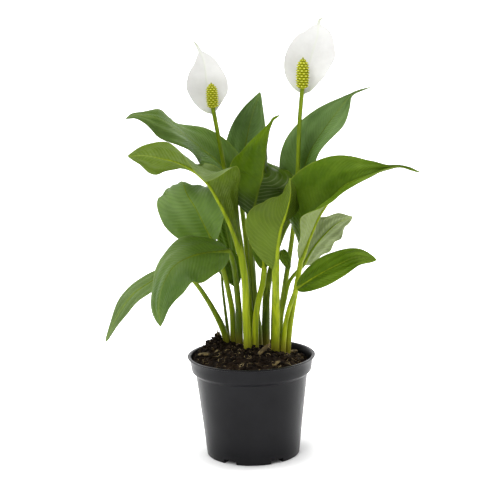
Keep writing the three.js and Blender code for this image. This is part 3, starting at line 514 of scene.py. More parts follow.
def shade_smooth(mesh):
    mesh.polygons.foreach_set("use_smooth", [True] * len(mesh.polygons))


def ring_faces(rings, sides, start=0):
    """Four-sided faces between rings of points that follow each other from start on."""
    faces = []
    for ring in range(rings - 1):
        for side in range(sides):
            a = start + ring * sides + side
            b = start + ring * sides + (side + 1) % sides
            faces.append((a, b, b + sides, a + sides))
    return faces


def circle(radius, z, sides, shift=0.0):
    """Points at the height z, turned by the share shift of one side."""
    angles = [TAU * (side + shift) / sides for side in range(sides)]
    return [(radius * math.cos(a), radius * math.sin(a), z) for a in angles]


def weld(piece):
    """Merges points that fall together, and drops the faces that this leaves without area."""
    bm = bmesh.new()
    bm.from_mesh(piece.data)
    bmesh.ops.remove_doubles(bm, verts=bm.verts, dist=1e-6)
    bmesh.ops.dissolve_degenerate(bm, edges=bm.edges, dist=1e-7)
    bm.to_mesh(piece.data)
    bm.free()


def bake_cuts(piece, shape, turns, operation):
    """Cuts a shape out of the piece at each turn, or joins it on, and keeps the result as mesh."""
    tools = []
    for turn in turns:
        mesh = new_mesh("tool", *shape)
        mesh.transform(Matrix.Rotation(turn, 4, "Z"))
        mesh.transform(Matrix.Scale(MM, 4))
        mesh.update()
        tools.append(put("tool", mesh))
        cut = piece.modifiers.new("cut", "BOOLEAN")
        cut.operation = operation
        cut.solver = "EXACT"
        cut.object = tools[-1]
    view = bpy.context.evaluated_depsgraph_get()
    done = bpy.data.meshes.new_from_object(piece.evaluated_get(view))
    piece.modifiers.clear()
    piece.data = done
    shade_smooth(done)
    for tool in tools:
        bpy.data.objects.remove(tool)


# ---------------- materials


# A point of a sheet, from its maps: the place across it, the shares of its half width and its
# length, the millimetres from the midrib, the veins counted so far, and the veins' crests.
Spot = namedtuple("Spot", "across part u distance order vein")


class Nodes:
    """A material's node tree, with short calls for the nodes that these materials use."""

    def __init__(self, name):
        self.material = bpy.data.materials.new(name)
        self.material.use_nodes = True
        self.tree = self.material.node_tree
        self.tree.nodes.clear()
        self.shader = self.node("BsdfPrincipled")
        self.out = self.node("OutputMaterial", Surface=self.shader.outputs[0])
        self.place = self.node("TexCoord").outputs["Object"]

    def join(self, value, socket):
        if isinstance(value, bpy.types.NodeSocket):
            self.tree.links.new(value, socket)
        else:
            socket.default_value = value

    def node(self, kind, **inputs):
        """A new node, with numbers, colours or other nodes' outputs joined to its inputs."""
        node = self.tree.nodes.new("ShaderNode" + kind)
        for key, value in inputs.items():
            self.join(value, node.inputs[key.replace("_", " ")])
        return node

    def math(self, operation, *values):
        node = self.node("Math")
        node.operation = operation
        for value, socket in zip(values, node.inputs):
            self.join(value, socket)
        return node.outputs[0]

    def ramp(self, value, lo, hi, to_lo=0.0, to_hi=1.0):
        """A smooth step from to_lo at lo to to_hi at hi."""
        node = self.node("MapRange", Value=value, From_Min=lo, From_Max=hi,
                         To_Min=to_lo, To_Max=to_hi)
        node.interpolation_type = "SMOOTHSTEP"
        return node.outputs[0]

    def mix(self, factor, a, b):
        """The colour a with the share factor of the colour b."""
        node = self.node("Mix", Factor=factor)
        node.data_type = "RGBA"
        for value, socket in zip((a, b), [s for s in node.inputs if s.type == "RGBA"]):
            self.join(value if isinstance(value, bpy.types.NodeSocket) else (*value, 1), socket)
        return [s for s in node.outputs if s.type == "RGBA"][0]

    def layers(self, color, *over):
        """The colour under others, each with the ramp that lays it on: (colour, value, lo, ...)."""
        for other, *steps in over:
            color = self.mix(self.ramp(*steps), color, other)
        return color

    def noise(self, scale, detail=3.0, roughness=0.55, stretch=None):
        vector = self.place
        if stretch:
            vector = self.node("Mapping", Vector=vector, Scale=stretch).outputs[0]
        node = self.node("TexNoise", Vector=vector, Scale=scale, Detail=detail, Roughness=roughness)
        return node.outputs["Fac"]

    def split(self, vector):
        return self.node("SeparateXYZ", Vector=vector).outputs

    def height(self):
        return self.split(self.place)[2]

    def uv(self, name):
        node = self.node("UVMap")
        node.uv_map = name
        return self.split(node.outputs[0])[:2]

    def spot(self):
        across, order = self.uv("ribs")
        signed = self.math("MULTIPLY_ADD", across, ACROSS_SPAN, -ACROSS_SPAN / 2)
        vein = self.math("COSINE", self.math("MULTIPLY", order, VEIN_SPAN * TAU))
        return Spot(across, *self.uv("span"), self.math("ABSOLUTE", signed), order, vein)

    def bump(self, height, strength, distance, **under):
        """Bumps of height, on top of those in Normal."""
        node = self.node("Bump", Height=height, Strength=strength, Distance=distance, **under)
        return node.outputs[0]

    def finish(self, color, roughness, normal=None, **constants):
        self.join(color, self.shader.inputs["Base Color"])
        self.join(roughness, self.shader.inputs["Roughness"])
        if normal:
            self.join(normal, self.shader.inputs["Normal"])
        for key, value in constants.items():
            self.shader.inputs[key.replace("_", " ")].default_value = value
        return self.material

    def let_light_by(self, share, color):
        """Part of the light that falls on the far side comes through, in this colour."""
        through = self.node("BsdfTranslucent", Color=color)
        mixed = self.node("MixShader")
        for value, socket in zip((share, self.shader.outputs[0], through.outputs[0]), mixed.inputs):
            self.join(value, socket)
        self.join(mixed.outputs[0], self.out.inputs["Surface"])
        return self.material


# Greens by tone: the upper side where dark, where light and at its base; the underside, the light
# that is let by, and the gloss.
TONES = {
    "cool": ((0.080, 0.152, 0.030), (0.160, 0.255, 0.058), (0.100, 0.190, 0.006),
             (0.19, 0.26, 0.06), (0.18, 0.32, 0.01), 0.3),
    "slate": ((0.080, 0.155, 0.028), (0.165, 0.275, 0.070), (0.075, 0.140, 0.010),
              (0.19, 0.26, 0.06), (0.18, 0.32, 0.01), 0.35),
    "deep": ((0.068, 0.135, 0.016), (0.145, 0.230, 0.042), (0.085, 0.165, 0.004),
             (0.19, 0.26, 0.05), (0.18, 0.32, 0.01), 0.3),
    "soft": ((0.125, 0.195, 0.050), (0.210, 0.300, 0.100), (0.130, 0.220, 0.020),
             (0.20, 0.27, 0.07), (0.18, 0.32, 0.01), 0.3),
    "mid": ((0.062, 0.120, 0.003), (0.115, 0.195, 0.010), (0.060, 0.115, 0.001),
            (0.092, 0.142, 0.012), (0.20, 0.32, 0.006), 0.13),
    "bright": ((0.070, 0.138, 0.001), (0.145, 0.245, 0.004), (0.060, 0.115, 0.001),
               (0.084, 0.136, 0.002), (0.20, 0.33, 0.004), 0.14),
    "vivid": ((0.080, 0.155, 0.001), (0.180, 0.285, 0.020), (0.055, 0.110, 0.001),
              (0.155, 0.20, 0.055), (0.20, 0.34, 0.004), 0.12),
    # painted sheen: the upper side of this tone, worn by leaf_02, is painted pale all over in place
    # of the sheen of light on it
    "silver": ((0.110, 0.180, 0.020), (0.225, 0.305, 0.095), (0.100, 0.170, 0.008),
               (0.080, 0.130, 0.002), (0.20, 0.33, 0.004), 0.2),
    "pale": ((0.150, 0.230, 0.050), (0.210, 0.290, 0.075), (0.150, 0.230, 0.030),
             (0.250, 0.300, 0.145), (0.32, 0.40, 0.12), 0.18),
}
STALK_TONES = {
    "pale": ((0.180, 0.245, 0.001), (0.370, 0.440, 0.006)),
    "green": ((0.100, 0.155, 0.001), (0.220, 0.295, 0.005)),
    "dark": ((0.055, 0.092, 0.001), (0.125, 0.175, 0.003)),
}
RIB_GREEN = (0.27, 0.34, 0.04)
SHADED_GREEN = (0.022, 0.046, 0.003)  # painted shade: the dark base of the leaf toned bright
# painted sheen on the ribs within that painted shade
PAINTED_RIB_SHEEN = (0.16, 0.2, 0.07)
SHEATH_BROWN = (0.27, 0.19, 0.03)
SHEATH_FOOT, SHEATH_TOP = 0.094, 0.116  # heights in metres between which the brown fades
STALK_RIDGES = 22


def leaf_material(tone, upper):
    dark, light, base, below, glow, gloss = TONES[tone]
    n = Nodes(f"leaf_{tone}_{'upper' if upper else 'under'}")
    at = n.spot()
    fine = n.math("COSINE", n.math("MULTIPLY", at.order, 3 * VEIN_SPAN * TAU))
    patches = n.noise(28, 2)
    mottle = n.noise(190, 4, 0.6)
    if upper:
        color = n.layers(dark, (light, patches, 0.3, 0.7), (base, at.u, 0.1, 0.65, 0.75, 0),
                         (base, at.part, 0, 0.5, 0.35, 0))
    else:
        color = n.layers(below, (tuple(1.3 * a for a in below), patches, 0.3, 0.7))
    color = n.mix(n.math("MULTIPLY", n.ramp(mottle, 0.42, 0.75), 0.25), color, light)
    if upper:
        color = n.layers(color, (dark, at.vein, 0.2, 1, 0, 0.34))
    else:
        color = n.layers(color, (RIB_GREEN, at.vein, 0.2, 1, 0, 0.14))
    # Painted shade over the base of the upper side, reaching further up the right half, with
    # painted sheen on the ribs inside it.
    if tone == "bright" and upper:
        reach = n.math("SUBTRACT", at.u, n.ramp(at.across, 0.49, 0.52, 0, 0.26))
        shade = n.ramp(reach, 0.08, 0.28, 0.85, 0)
        ribs = n.math("MULTIPLY", shade, n.ramp(at.vein, 0.6, 1, 0, 0.7))
        color = n.mix(ribs, n.mix(shade, color, SHADED_GREEN), PAINTED_RIB_SHEEN)
    color = n.layers(color, (RIB_GREEN, at.distance, 0.25, 0.9, 0.22 if upper else 0.5, 0),
                     (RIB_GREEN, at.part, 0.96, 1, 0, 0.55))
    lines = n.math("MULTIPLY_ADD", fine, 0.25, n.math("MULTIPLY", at.vein, -0.5 if upper else 0.5))
    grain = n.bump(n.noise(1500, 3, 0.6), 0.1, 0.0002)
    normal = n.bump(lines, 0.45, 0.0004, Normal=grain)
    rough = (0.36, 0.5) if upper else (0.48, 0.62)
    n.finish(color, n.ramp(mottle, 0.3, 0.75, *rough), normal, Specular_IOR_Level=gloss)
    return n.let_light_by(0.25, n.mix(0.5, color, glow))


def stalk_material(tone):
    dark, light = STALK_TONES[tone]
    n = Nodes(f"stalk_{tone}")
    around, along = n.uv("length")
    streaks = n.noise(260, 3, 0.6, stretch=(1, 1, 0.035))
    patches = n.noise(45, 2)
    color = n.layers(
        dark,
        (light, streaks, 0.35, 0.65),
        (dark, patches, 0.4, 0.7, 0, 0.3),
        ((0.12, 0.19, 0.006), along, 0.4, 1, 0, 0.35),
        (SHEATH_BROWN, n.height(), SHEATH_FOOT, SHEATH_TOP, 0.6, 0),
    )
    ridges = n.math("COSINE", n.math("MULTIPLY", around, TAU * STALK_RIDGES))
    normal = n.bump(n.math("MULTIPLY_ADD", ridges, 0.3, streaks), 0.22, 0.0003)
    n.finish(color, n.ramp(patches, 0.3, 0.7, 0.4, 0.55), normal, Specular_IOR_Level=0.15)
    return n.let_light_by(0.12, n.mix(0.5, color, (0.4, 0.5, 0.02)))


def spathe_material():
    n = Nodes("spathe_white")
    at = n.spot()
    patches = n.noise(60, 3)
    color = n.layers(
        (0.66, 0.655, 0.64),
        ((0.76, 0.757, 0.745), patches, 0.3, 0.7),
        ((0.7, 0.72, 0.66), at.vein, 0.5, 1, 0, 0.18),
        ((0.68, 0.73, 0.56), at.distance, 0.2, 1.6, 0.35, 0),
        ((0.58, 0.66, 0.4), at.u, 0, 0.12, 0.5, 0),
        ((0.52, 0.56, 0.38), at.u, 0.84, 0.96, 0, 0.7),
    )
    normal = n.bump(n.math("MULTIPLY_ADD", at.vein, 0.5, n.noise(900, 3)), 0.2, 0.0003)
    n.finish(color, n.ramp(patches, 0.3, 0.7, 0.45, 0.6), normal, Specular_IOR_Level=0.2)
    return n.let_light_by(0.35, (0.82, 0.82, 0.81, 1))


def spadix_material():
    n = Nodes("spadix_yellow_green")
    rise, _ = n.uv("floret")
    color = n.layers(
        (0.08, 0.09, 0.001),
        ((0.36, 0.38, 0.006), rise, 0.05, 0.6),
        ((0.75, 0.72, 0.16), rise, 0.6, 1),
        ((0.3, 0.34, 0.006), n.noise(420, 2), 0.4, 0.7, 0, 0.3),
    )
    normal = n.bump(n.noise(2600, 3), 0.3, 0.0002)
    return n.finish(color, 0.6, normal, Specular_IOR_Level=0.15)


def soil_material():
    n = Nodes("soil_dark")
    clods = n.noise(130, 5, 0.65)
    grains = n.noise(700, 5, 0.7)
    color = n.layers(
        (0.003, 0.0018, 0.001),
        ((0.022, 0.013, 0.007), clods, 0.35, 0.68),
        ((0.06, 0.036, 0.018), grains, 0.5, 0.78, 0, 0.7),
        ((0.11, 0.075, 0.035), n.noise(260, 2), 0.62, 0.72, 0, 0.5),
    )
    normal = n.bump(clods, 0.7, 0.002, Normal=n.bump(grains, 0.9, 0.0012))
    return n.finish(color, n.ramp(grains, 0.3, 0.7, 0.75, 0.98), normal, Specular_IOR_Level=0.08)


def bark_material():
    n = Nodes("bark_brown")
    grain = n.noise(420, 4, 0.65, stretch=(1, 0.25, 1))
    color = n.layers((0.05, 0.034, 0.012), ((0.19, 0.135, 0.05), grain, 0.35, 0.7),
                     ((0.31, 0.24, 0.1), n.noise(120, 3), 0.5, 0.75, 0, 0.6))
    return n.finish(color, 0.85, n.bump(grain, 0.7, 0.001), Specular_IOR_Level=0.3)


def fibre_material():
    n = Nodes("root_fibre")
    patches = n.noise(150, 3)
    color = n.layers((0.09, 0.058, 0.024), ((0.4, 0.31, 0.15), patches, 0.35, 0.65))
    return n.finish(color, 0.8, n.bump(n.noise(1500, 3), 0.4, 0.0004), Specular_IOR_Level=0.3)


def pot_material():
    n = Nodes("pot_black_plastic")
    haze = n.noise(26, 4, 0.6)
    scuffs = n.noise(160, 5, 0.7, stretch=(1, 1, 0.3))
    color = n.layers(
        (0.0045, 0.0045, 0.0056),
        ((0.007, 0.007, 0.0084), haze, 0.35, 0.7),
        ((0.022, 0.021, 0.022), scuffs, 0.62, 0.78, 0, 0.3),
        ((0.03, 0.029, 0.028), n.height(), 0, 0.01, 0.25, 0),
    )
    grain = n.bump(n.noise(2200, 3, 0.6), 0.12, 0.0002)
    normal = n.bump(haze, 0.06, 0.002, Normal=grain)
    return n.finish(color, n.ramp(scuffs, 0.3, 0.75, 0.28, 0.4), normal, Specular_IOR_Level=0.11)


# ---------------- leaves

STALK_SIDES = 24
STALK_STEP = 2.5  # millimetres from ring to ring
RIB_END = 0.86  # share of a blade's length over which its midrib stands out below
CROWN_MIDDLE = (8.0, 20.0, 0.0)  # what the flattened side of each stalk faces


def stalk_sheet(item, rib_end):
    """A stalk that runs on under the blade as its midrib, thinning up to the share rib_end."""
    foot, neck = item.radii
    curve = Spline([*item.stalk, item.blade[0][:3]], centripetal=True)
    v = np.linspace(0, 1, round(curve.length / STALK_STEP) + 1)
    centres = curve.at(curve.share(v))
    radii = neck + (foot - neck) * (1 - v) ** 1.3
    if rib_end:
        blade = Blade(item)
        ribs = round(blade.spine.length * rib_end / STALK_STEP)
        u = np.linspace(0, rib_end, ribs + 1)[1:]
        rib_radii = neck * (1 - u / rib_end) ** 0.8 * (1 - 0.35 * smooth(0, 0.15, u)) + 0.12
        drop = np.minimum(0.55 * rib_radii + 0.1, 0.2 + 8 * u)
        below = blade.normal(u, np.zeros_like(u)) * drop[:, None]
        centres = np.concatenate([centres, blade.spine.at(blade.spine.share(u)) - below])
        radii = np.concatenate([radii, rib_radii])
        v = np.concatenate([v, 1 + u])
    rings = len(centres)
    along, across, up = frames(centres, (0.0, 1.0, 0.0))
    turn = TAU * np.arange(STALK_SIDES) / STALK_SIDES
    inward = unit((np.array(CROWN_MIDDLE) - centres) * np.array([1, 1, 0]))
    facing = np.arctan2(dot(inward, up)[:, 0], dot(inward, across)[:, 0])
    off = np.abs((turn[None, :] - facing[:, None] + np.pi) % TAU - np.pi)
    sheath = window(v, 0.0, 0.06, 0.3, 0.55)
    shape = 1 - 0.14 * np.exp(-((off / 0.45) ** 2)) * (1 - smooth(0.9, 1.0, v))[:, None]
    shape += 0.16 * np.exp(-(((off - 0.75) / 0.2) ** 2)) * sheath[:, None]
    r = radii[:, None] * shape
    points = centres[:, None] + across[:, None] * (r * np.cos(turn))[..., None]
    points = points + up[:, None] * (r * np.sin(turn))[..., None]
    verts = np.concatenate([points.reshape(-1, 3), centres[:1], centres[-1:] + along[-1:] * 0.2])
    faces = ring_faces(rings, STALK_SIDES)
    start, end = rings * STALK_SIDES, rings * STALK_SIDES + 1
    top = (rings - 1) * STALK_SIDES
    for side in range(STALK_SIDES):
        after = (side + 1) % STALK_SIDES
        faces.append((start, after, side))
        faces.append((end, top + side, top + after))
    pairs = np.stack(np.broadcast_arrays(turn / TAU, np.minimum(v, 1.0)[:, None]), axis=-1)
    return verts, faces, {"length": np.concatenate([pairs.reshape(-1, 2), [(0, 0), (0, 1)]])}


blade_looks = {tone: [leaf_material(tone, upper) for upper in (True, False)] for tone in TONES}
stalk_looks = {tone: stalk_material(tone) for tone in STALK_TONES}


def dress(item, part, slot, verts, faces, looks, *more):
    """The finer piece that stands for a part of a leaf or bloom."""
    return make_piece(f"{item.name}_fine_{part}", verts, faces, looks, slot,
                      [f"{item.name}_{part}"], *more)


def dress_stalk(item, rib_end):
    verts, faces, maps = stalk_sheet(item, rib_end)
    dress(item, "stalk", "stalk", verts, faces, [stalk_looks[item.stalk_tone]], maps)


LEAF_SHEET = dict(thickness=0.55, spacing=3.6, relief=0.09, sweep=0.75, groove=0.3, swell=0.6)

for item in LEAVES:
    verts, faces, slots, maps = sheet(item, **LEAF_SHEET)
    dress(item, "blade", "leaf", verts, faces, blade_looks[item.tone], maps, slots)
    dress_stalk(item, RIB_END)

# ---------------- blooms

SPATHE_SHEET = dict(thickness=0.5, spacing=4.0, relief=0.07, sweep=0.30, groove=0.15, swell=0)
SPADIX_ROWS = 140
SPADIX_SIDES = 132
SPADIX_INSET = 1.3  # how far the florets' grooves lie inside the spike's girth
FLORETS_AROUND = 9
FLORET_RINGS = 12
FLORET_RADIUS = 0.54  # in shares of the space between florets
KNOB_RISE = 1.6
POINT_RISE = 0.9


def spadix_sheet(bottom, top, radius):
    """A blunt spike set with florets, each a blunt four-sided knob with a raised middle."""
    bottom, top = np.array(bottom, float), np.array(top, float)
    axis = top - bottom
    length = np.linalg.norm(axis)
    turn = np.array(Vector((0, 0, 1)).rotation_difference(Vector(axis)).to_matrix())
    v = np.linspace(0, 1, SPADIX_ROWS)[:, None]
    angle = TAU * np.arange(SPADIX_SIDES)[None, :] / SPADIX_SIDES
    belly = 1 - 0.3 * np.abs(2 * v - 0.8) ** 2.5
    crown = np.sqrt(np.clip(5 * (1.0 - v), 0, 1))
    lattice_v = v * FLORET_RINGS
    lattice_a = angle / TAU * FLORETS_AROUND
    best = np.full((SPADIX_ROWS, SPADIX_SIDES), 9.0)
    for step in (-1, 0, 1, 2):
        ring = np.floor(lattice_v) + step
        shift = 0.5 * (ring % 2)
        side = np.round(lattice_a - shift) + shift
        away = np.hypot((lattice_v - ring) * 0.92, (lattice_a - side) * 0.88)
        best = np.minimum(best, away)
    knob = np.clip(1 - (best / FLORET_RADIUS) ** 2, 0, 1) ** 0.6
    point = np.exp(-((best / 0.2) ** 2))
    rise = (KNOB_RISE * knob + POINT_RISE * point) * smooth(0, 0.05, v) * (0.5 + 0.5 * crown)
    r = radius * belly * crown - SPADIX_INSET + rise
    r[-1] = 0
    r[0] = 0
    height = np.broadcast_to(v * length, r.shape)
    place = np.stack([r * np.cos(angle), r * np.sin(angle), height], axis=-1)
    place[-1, :, 2] += 0.5
    verts = place.reshape(-1, 3) @ turn.T + bottom
    pairs = np.stack(np.broadcast_arrays(0.62 * knob + 0.38 * point, v), axis=-1).reshape(-1, 2)
    return verts, ring_faces(SPADIX_ROWS, SPADIX_SIDES), {"floret": pairs}


blade_looks["white"] = [spathe_material()]
spadix_look = spadix_material()

for item in FLOWERS:
    verts, faces, _, maps = sheet(item, **SPATHE_SHEET)
    dress(item, "spathe", "spathe", verts, faces, blade_looks[item.tone], maps)
    verts, faces, maps = spadix_sheet(*item.spadix)
    weld(dress(item, "spadix", "spadix", verts, faces, [spadix_look], maps))
    dress_stalk(item._replace(blade=[item.spadix[0]]), rib_end=0)  # it ends in the spadix

# ---------------- pot

# Radius and height, from the middle of the underside round the lip to the middle of the floor.
POT_PROFILE = [
    (0, 0), (24, 0), (43, 0), (43.7, 0.5), (43.95, 1.4), (44.3, 6), (48.4, 42),
    (52.45, 77), (52.7, 77.9), (53.4, 78.5), (55.4, 80.3), (56.1, 81), (56.35, 82),
    (57.1, 87), (57.9, 92.7), (58.2, 93.2), (59.2, 93.5), (59.75, 93.8), (60, 94.3),
    (59.85, 94.8), (59.4, 95), (58.2, 95), (57.2, 94.7), (56.6, 94), (55.6, 88),
    (54.75, 82), (54.2, 80.4), (51.6, 78.3), (51.05, 77.4), (46.8, 42), (42.5, 5.8),
    (41.9, 2.4), (41, 1.6), (24, 1.6), (0, 1.6),
]
POT_SIDES = 144
POT_WALL = 1.6
SHARP_EDGE = 32  # degrees from which an edge stays sharp
GAP = 0.3  # room between the soil and a channel's roof
CHANNELS = 6  # drain channels across the underside, from the centre disc out
CHANNEL_WIDTH = 13
CHANNEL_DEPTH = 4
CHANNEL_START = 26
CHANNEL_TURN = 30  # degrees from the front to the first channel
DRAIN_RADIUS = 3.6
DRAIN_AT = 35
DRAIN_SIDES = 32


def bar(grown, bottom, end):
    """A channel's bar, grown on its sides, its inner end and its top."""
    half = CHANNEL_WIDTH / 2 + grown
    heights, ends = (bottom, CHANNEL_DEPTH + grown), (-end, grown - CHANNEL_START)
    verts = [(x, y, z) for z in heights for y in ends for x in (-half, half)]
    faces = [(0, 2, 3, 1), (4, 5, 7, 6), (0, 1, 5, 4), (2, 6, 7, 3), (0, 4, 6, 2), (1, 3, 7, 5)]
    return verts, faces


def drain():
    """An upright rod, closed at both ends."""
    reach = 2 * CHANNEL_DEPTH
    ends = [p for z in (-reach, reach) for p in circle(DRAIN_RADIUS, z, DRAIN_SIDES)]
    verts = [(x, y - DRAIN_AT, z) for x, y, z in ends]
    bottom = tuple(reversed(range(DRAIN_SIDES)))
    top = tuple(range(DRAIN_SIDES, 2 * DRAIN_SIDES))
    return verts, [*ring_faces(2, DRAIN_SIDES), bottom, top]


verts = [p for r, z in POT_PROFILE for p in circle(r, z, POT_SIDES)]
faces = ring_faces(len(POT_PROFILE), POT_SIDES)
pot_piece = make_piece("pot_moulded", verts, faces, [pot_material()], "pot", ["pot"])
weld(pot_piece)
turns = [math.radians(CHANNEL_TURN + 360 / CHANNELS * k) for k in range(CHANNELS)]
bake_cuts(pot_piece, bar(POT_WALL, bottom=1, end=43), turns, "UNION")  # roofs inside the pot
bake_cuts(pot_piece, bar(0, bottom=-3, end=50), turns, "DIFFERENCE")
bake_cuts(pot_piece, drain(), turns, "DIFFERENCE")
pot_piece.data.set_sharp_from_angle(angle=math.radians(SHARP_EDGE))

# ---------------- soil

# As in the part.
RIM_RADIUS = 60
SOIL_EDGE = 88  # height of the soil at the wall
SOIL_CROWN = 11  # how much higher the mound is round the stems
SOIL_HEAP = 8
SOIL_LEAN = 3  # how much higher the soil is at the left wall than in the middle

SOIL_RINGS = 70
SOIL_SIDES = 220
SOIL_WALL = 55.3
SOIL_BELOW = ((54.0, 80.8), (50.4, 77.3), (41.6, 4.3), (26.0, 2.2))  # radius and height


def soil_height(x, y):
    reach = min(1, math.hypot(x, y) / (RIM_RADIUS - 4))
    mound = SOIL_CROWN * (1 - reach**2.2)
    heap = SOIL_HEAP * math.exp(-(((x + 36) / 12) ** 2) - ((y - 29) / 18) ** 2)
    lean = -SOIL_LEAN * x / RIM_RADIUS
    clods = (1.1 * math.sin(0.31 * x + 1.2) * math.sin(0.27 * y + 0.5)
             + 0.7 * math.sin(0.62 * x - 0.41 * y + 2.1))
    return SOIL_EDGE + mound + heap + lean + clods * (1 - 0.5 * reach)


def rough_height(x, y):
    p = Vector((x, y, 0))
    ridges = abs(noise.noise(p * 0.55 + Vector((7, 3, 1))))
    return soil_height(x, y) + (1.5 * noise.fractal(p * 0.16, 0.7, 2.1, 5) + ridges)


def soil_surface():
    rings, sides = SOIL_RINGS, SOIL_SIDES
    verts = [(0, 0, rough_height(0, 0))]
    for ring in range(1, rings + 1):
        flat = circle(SOIL_WALL * (ring / rings) ** 0.8, 0, sides, 0.5 * (ring % 2))
        verts += [(x, y, rough_height(x, y)) for x, y, _ in flat]
    faces = []
    for side in range(sides):
        after = (side + 1) % sides
        faces.append((0, 1 + side, 1 + after))
        for ring in range(1, rings):
            a = 1 + (ring - 1) * sides
            b = a + sides
            if ring % 2:
                faces.append((a + side, b + side, b + after))
                faces.append((b + after, a + after, a + side))
            else:
                faces.append((a + side, b + side, a + after))
                faces.append((b + after, a + after, b + side))
    for r, z in SOIL_BELOW:
        verts += circle(r, z, sides, 0.5 * (rings % 2))
    top = 1 + (rings - 1) * sides
    skirt = ring_faces(len(SOIL_BELOW) + 1, sides, top)
    faces += [(a, d, c, b) for a, b, c, d in skirt]  # its rings go down
    top += len(SOIL_BELOW) * sides
    faces += [(len(verts), top + (side + 1) % sides, top + side) for side in range(sides)]
    verts.append((0, 0, SOIL_BELOW[-1][1]))
    return verts, faces


def crumb(rng, centre, size, verts, faces):
    """Adds an uneven lump."""
    bm = bmesh.new()
    bmesh.ops.create_icosphere(bm, subdivisions=2, radius=1)
    shift = Vector([rng.uniform(0, 99) for _ in range(3)])
    stretch = Vector([rng.uniform(lo, hi) for lo, hi in ((0.7, 1.3), (0.6, 1.0), (0.5, 0.9))])
    heading = Matrix.Rotation(rng.uniform(0, 6.28), 3, "Z")
    spin = heading @ Matrix.Rotation(rng.uniform(-0.6, 0.6), 3, "X")
    start = len(verts)
    for v in bm.verts:
        bumpy = 1 + 0.45 * noise.noise(v.co * 1.6 + shift)
        p = spin @ Vector([c * s * bumpy * size for c, s in zip(v.co, stretch)])
        verts.append((centre[0] + p.x, centre[1] + p.y, centre[2] + p.z))
    faces += [tuple(start + v.index for v in f.verts) for f in bm.faces]
    bm.free()


def strand(points, radius, verts, faces, sides=6):
    """Adds a thin root or fibre along points."""
    curve = Spline(points, centripetal=True)
    steps = max(6, round(curve.length / 1.2))
    centres = curve.at(curve.share(np.linspace(0, 1, steps + 1)))
    _, across, up = frames(centres, (0.3, 0.2, 0.93))
    start = len(verts)
    for i, (c, a, b) in enumerate(zip(centres, across, up)):
        r = radius * (1 - 0.6 * (i / steps))
        verts += [tuple(c + r * (a * x + b * y)) for x, y, _ in circle(1, 0, sides)]
    faces += ring_faces(steps + 1, sides, start)
    faces.append(tuple(start + side for side in reversed(range(sides))))
    faces.append(tuple(start + steps * sides + side for side in range(sides)))


def somewhere(rng, reach):
    """A place within reach of the middle."""
    r, angle = reach * math.sqrt(rng.random()), rng.uniform(0, TAU)
    return r * math.cos(angle), r * math.sin(angle)


verts, faces = soil_surface()
soil_piece = make_piece("soil_surface", verts, faces, [soil_material()], "soil", ["soil"])
bake_cuts(soil_piece, bar(POT_WALL + GAP, bottom=-3, end=50), turns, "DIFFERENCE")

rng = random.Random(12)
verts, faces = [], []


def lump(x, y, above, size):
    crumb(rng, (x, y, rough_height(x, y) + above), size, verts, faces)


for _ in range(760):
    x, y = somewhere(rng, 54.0)
    size = rng.choice((0.6, 0.8, 1.0, 1.3, 1.9, 2.5))
    if math.hypot(x, y) + size < 55:
        lump(x, y, 0.25 * size, size)
for _ in range(170):
    x, y = rng.gauss(-36, 8), rng.gauss(22, 15)
    if math.hypot(x, y) < 53:
        lump(x, y, rng.uniform(0, 2), rng.uniform(0.8, 2.2))
for _ in range(70):
    x, y = rng.gauss(-32, 3.2), rng.gauss(36, 4)
    top = 9 * math.exp(-(((x + 32) / 5) ** 2) - ((y - 36) / 6) ** 2)
    lump(x, y, rng.uniform(0.2, 1) * top, rng.uniform(0.9, 2.0))
make_piece("soil_crumbs", verts, faces, [soil_material()], "soil", [])

verts, faces = [], []
for _ in range(170):
    x, y = somewhere(rng, 52.0)
    heading, reach = rng.uniform(0, TAU), rng.uniform(3, 9)
    points = []
    for k in range(4):
        px = x + reach * k / 3 * math.cos(heading + 0.35 * k * rng.uniform(-1, 1))
        py = y + reach * k / 3 * math.sin(heading)
        if math.hypot(px, py) > 54:
            break
        lift = rng.uniform(0.2, 1.6) if k else 0
        points.append((px, py, rough_height(px, py) + lift))
    if len(points) > 2:
        strand(points, rng.uniform(0.12, 0.32), verts, faces)
for _ in range(16):
    x, y = rng.gauss(-32, 3), rng.gauss(35, 3)
    z = rough_height(x, y) + 7
    out, lift = rng.uniform(-9, 3), rng.uniform(0, 7)
    points = [(x, y, z - 2), (x + 0.35 * out, y, z + 0.7 * lift),
              (x + 0.7 * out, y - 1, z + lift), (x + out, y - 1, z + 0.8 * lift)]
    strand(points, rng.uniform(0.25, 0.45), verts, faces)
make_piece("soil_fibres", verts, faces, [fibre_material()], "bark", [])

# Chips of bark: name, centre, then length, width and thickness, turn and tilt, as in the part.
CHIPS = [
    ("bark_chip_1", (11, -14), (17, 6, 3), 33, 32),
    ("bark_chip_2", (22, -32), (11, 5, 2.5), 45, 10),
    ("bark_chip_3", (-44, -4), (12, 7, 3), -30, 6),
    ("bark_chip_4", (39, 15), (10, 6, 3), 15, 6),
]


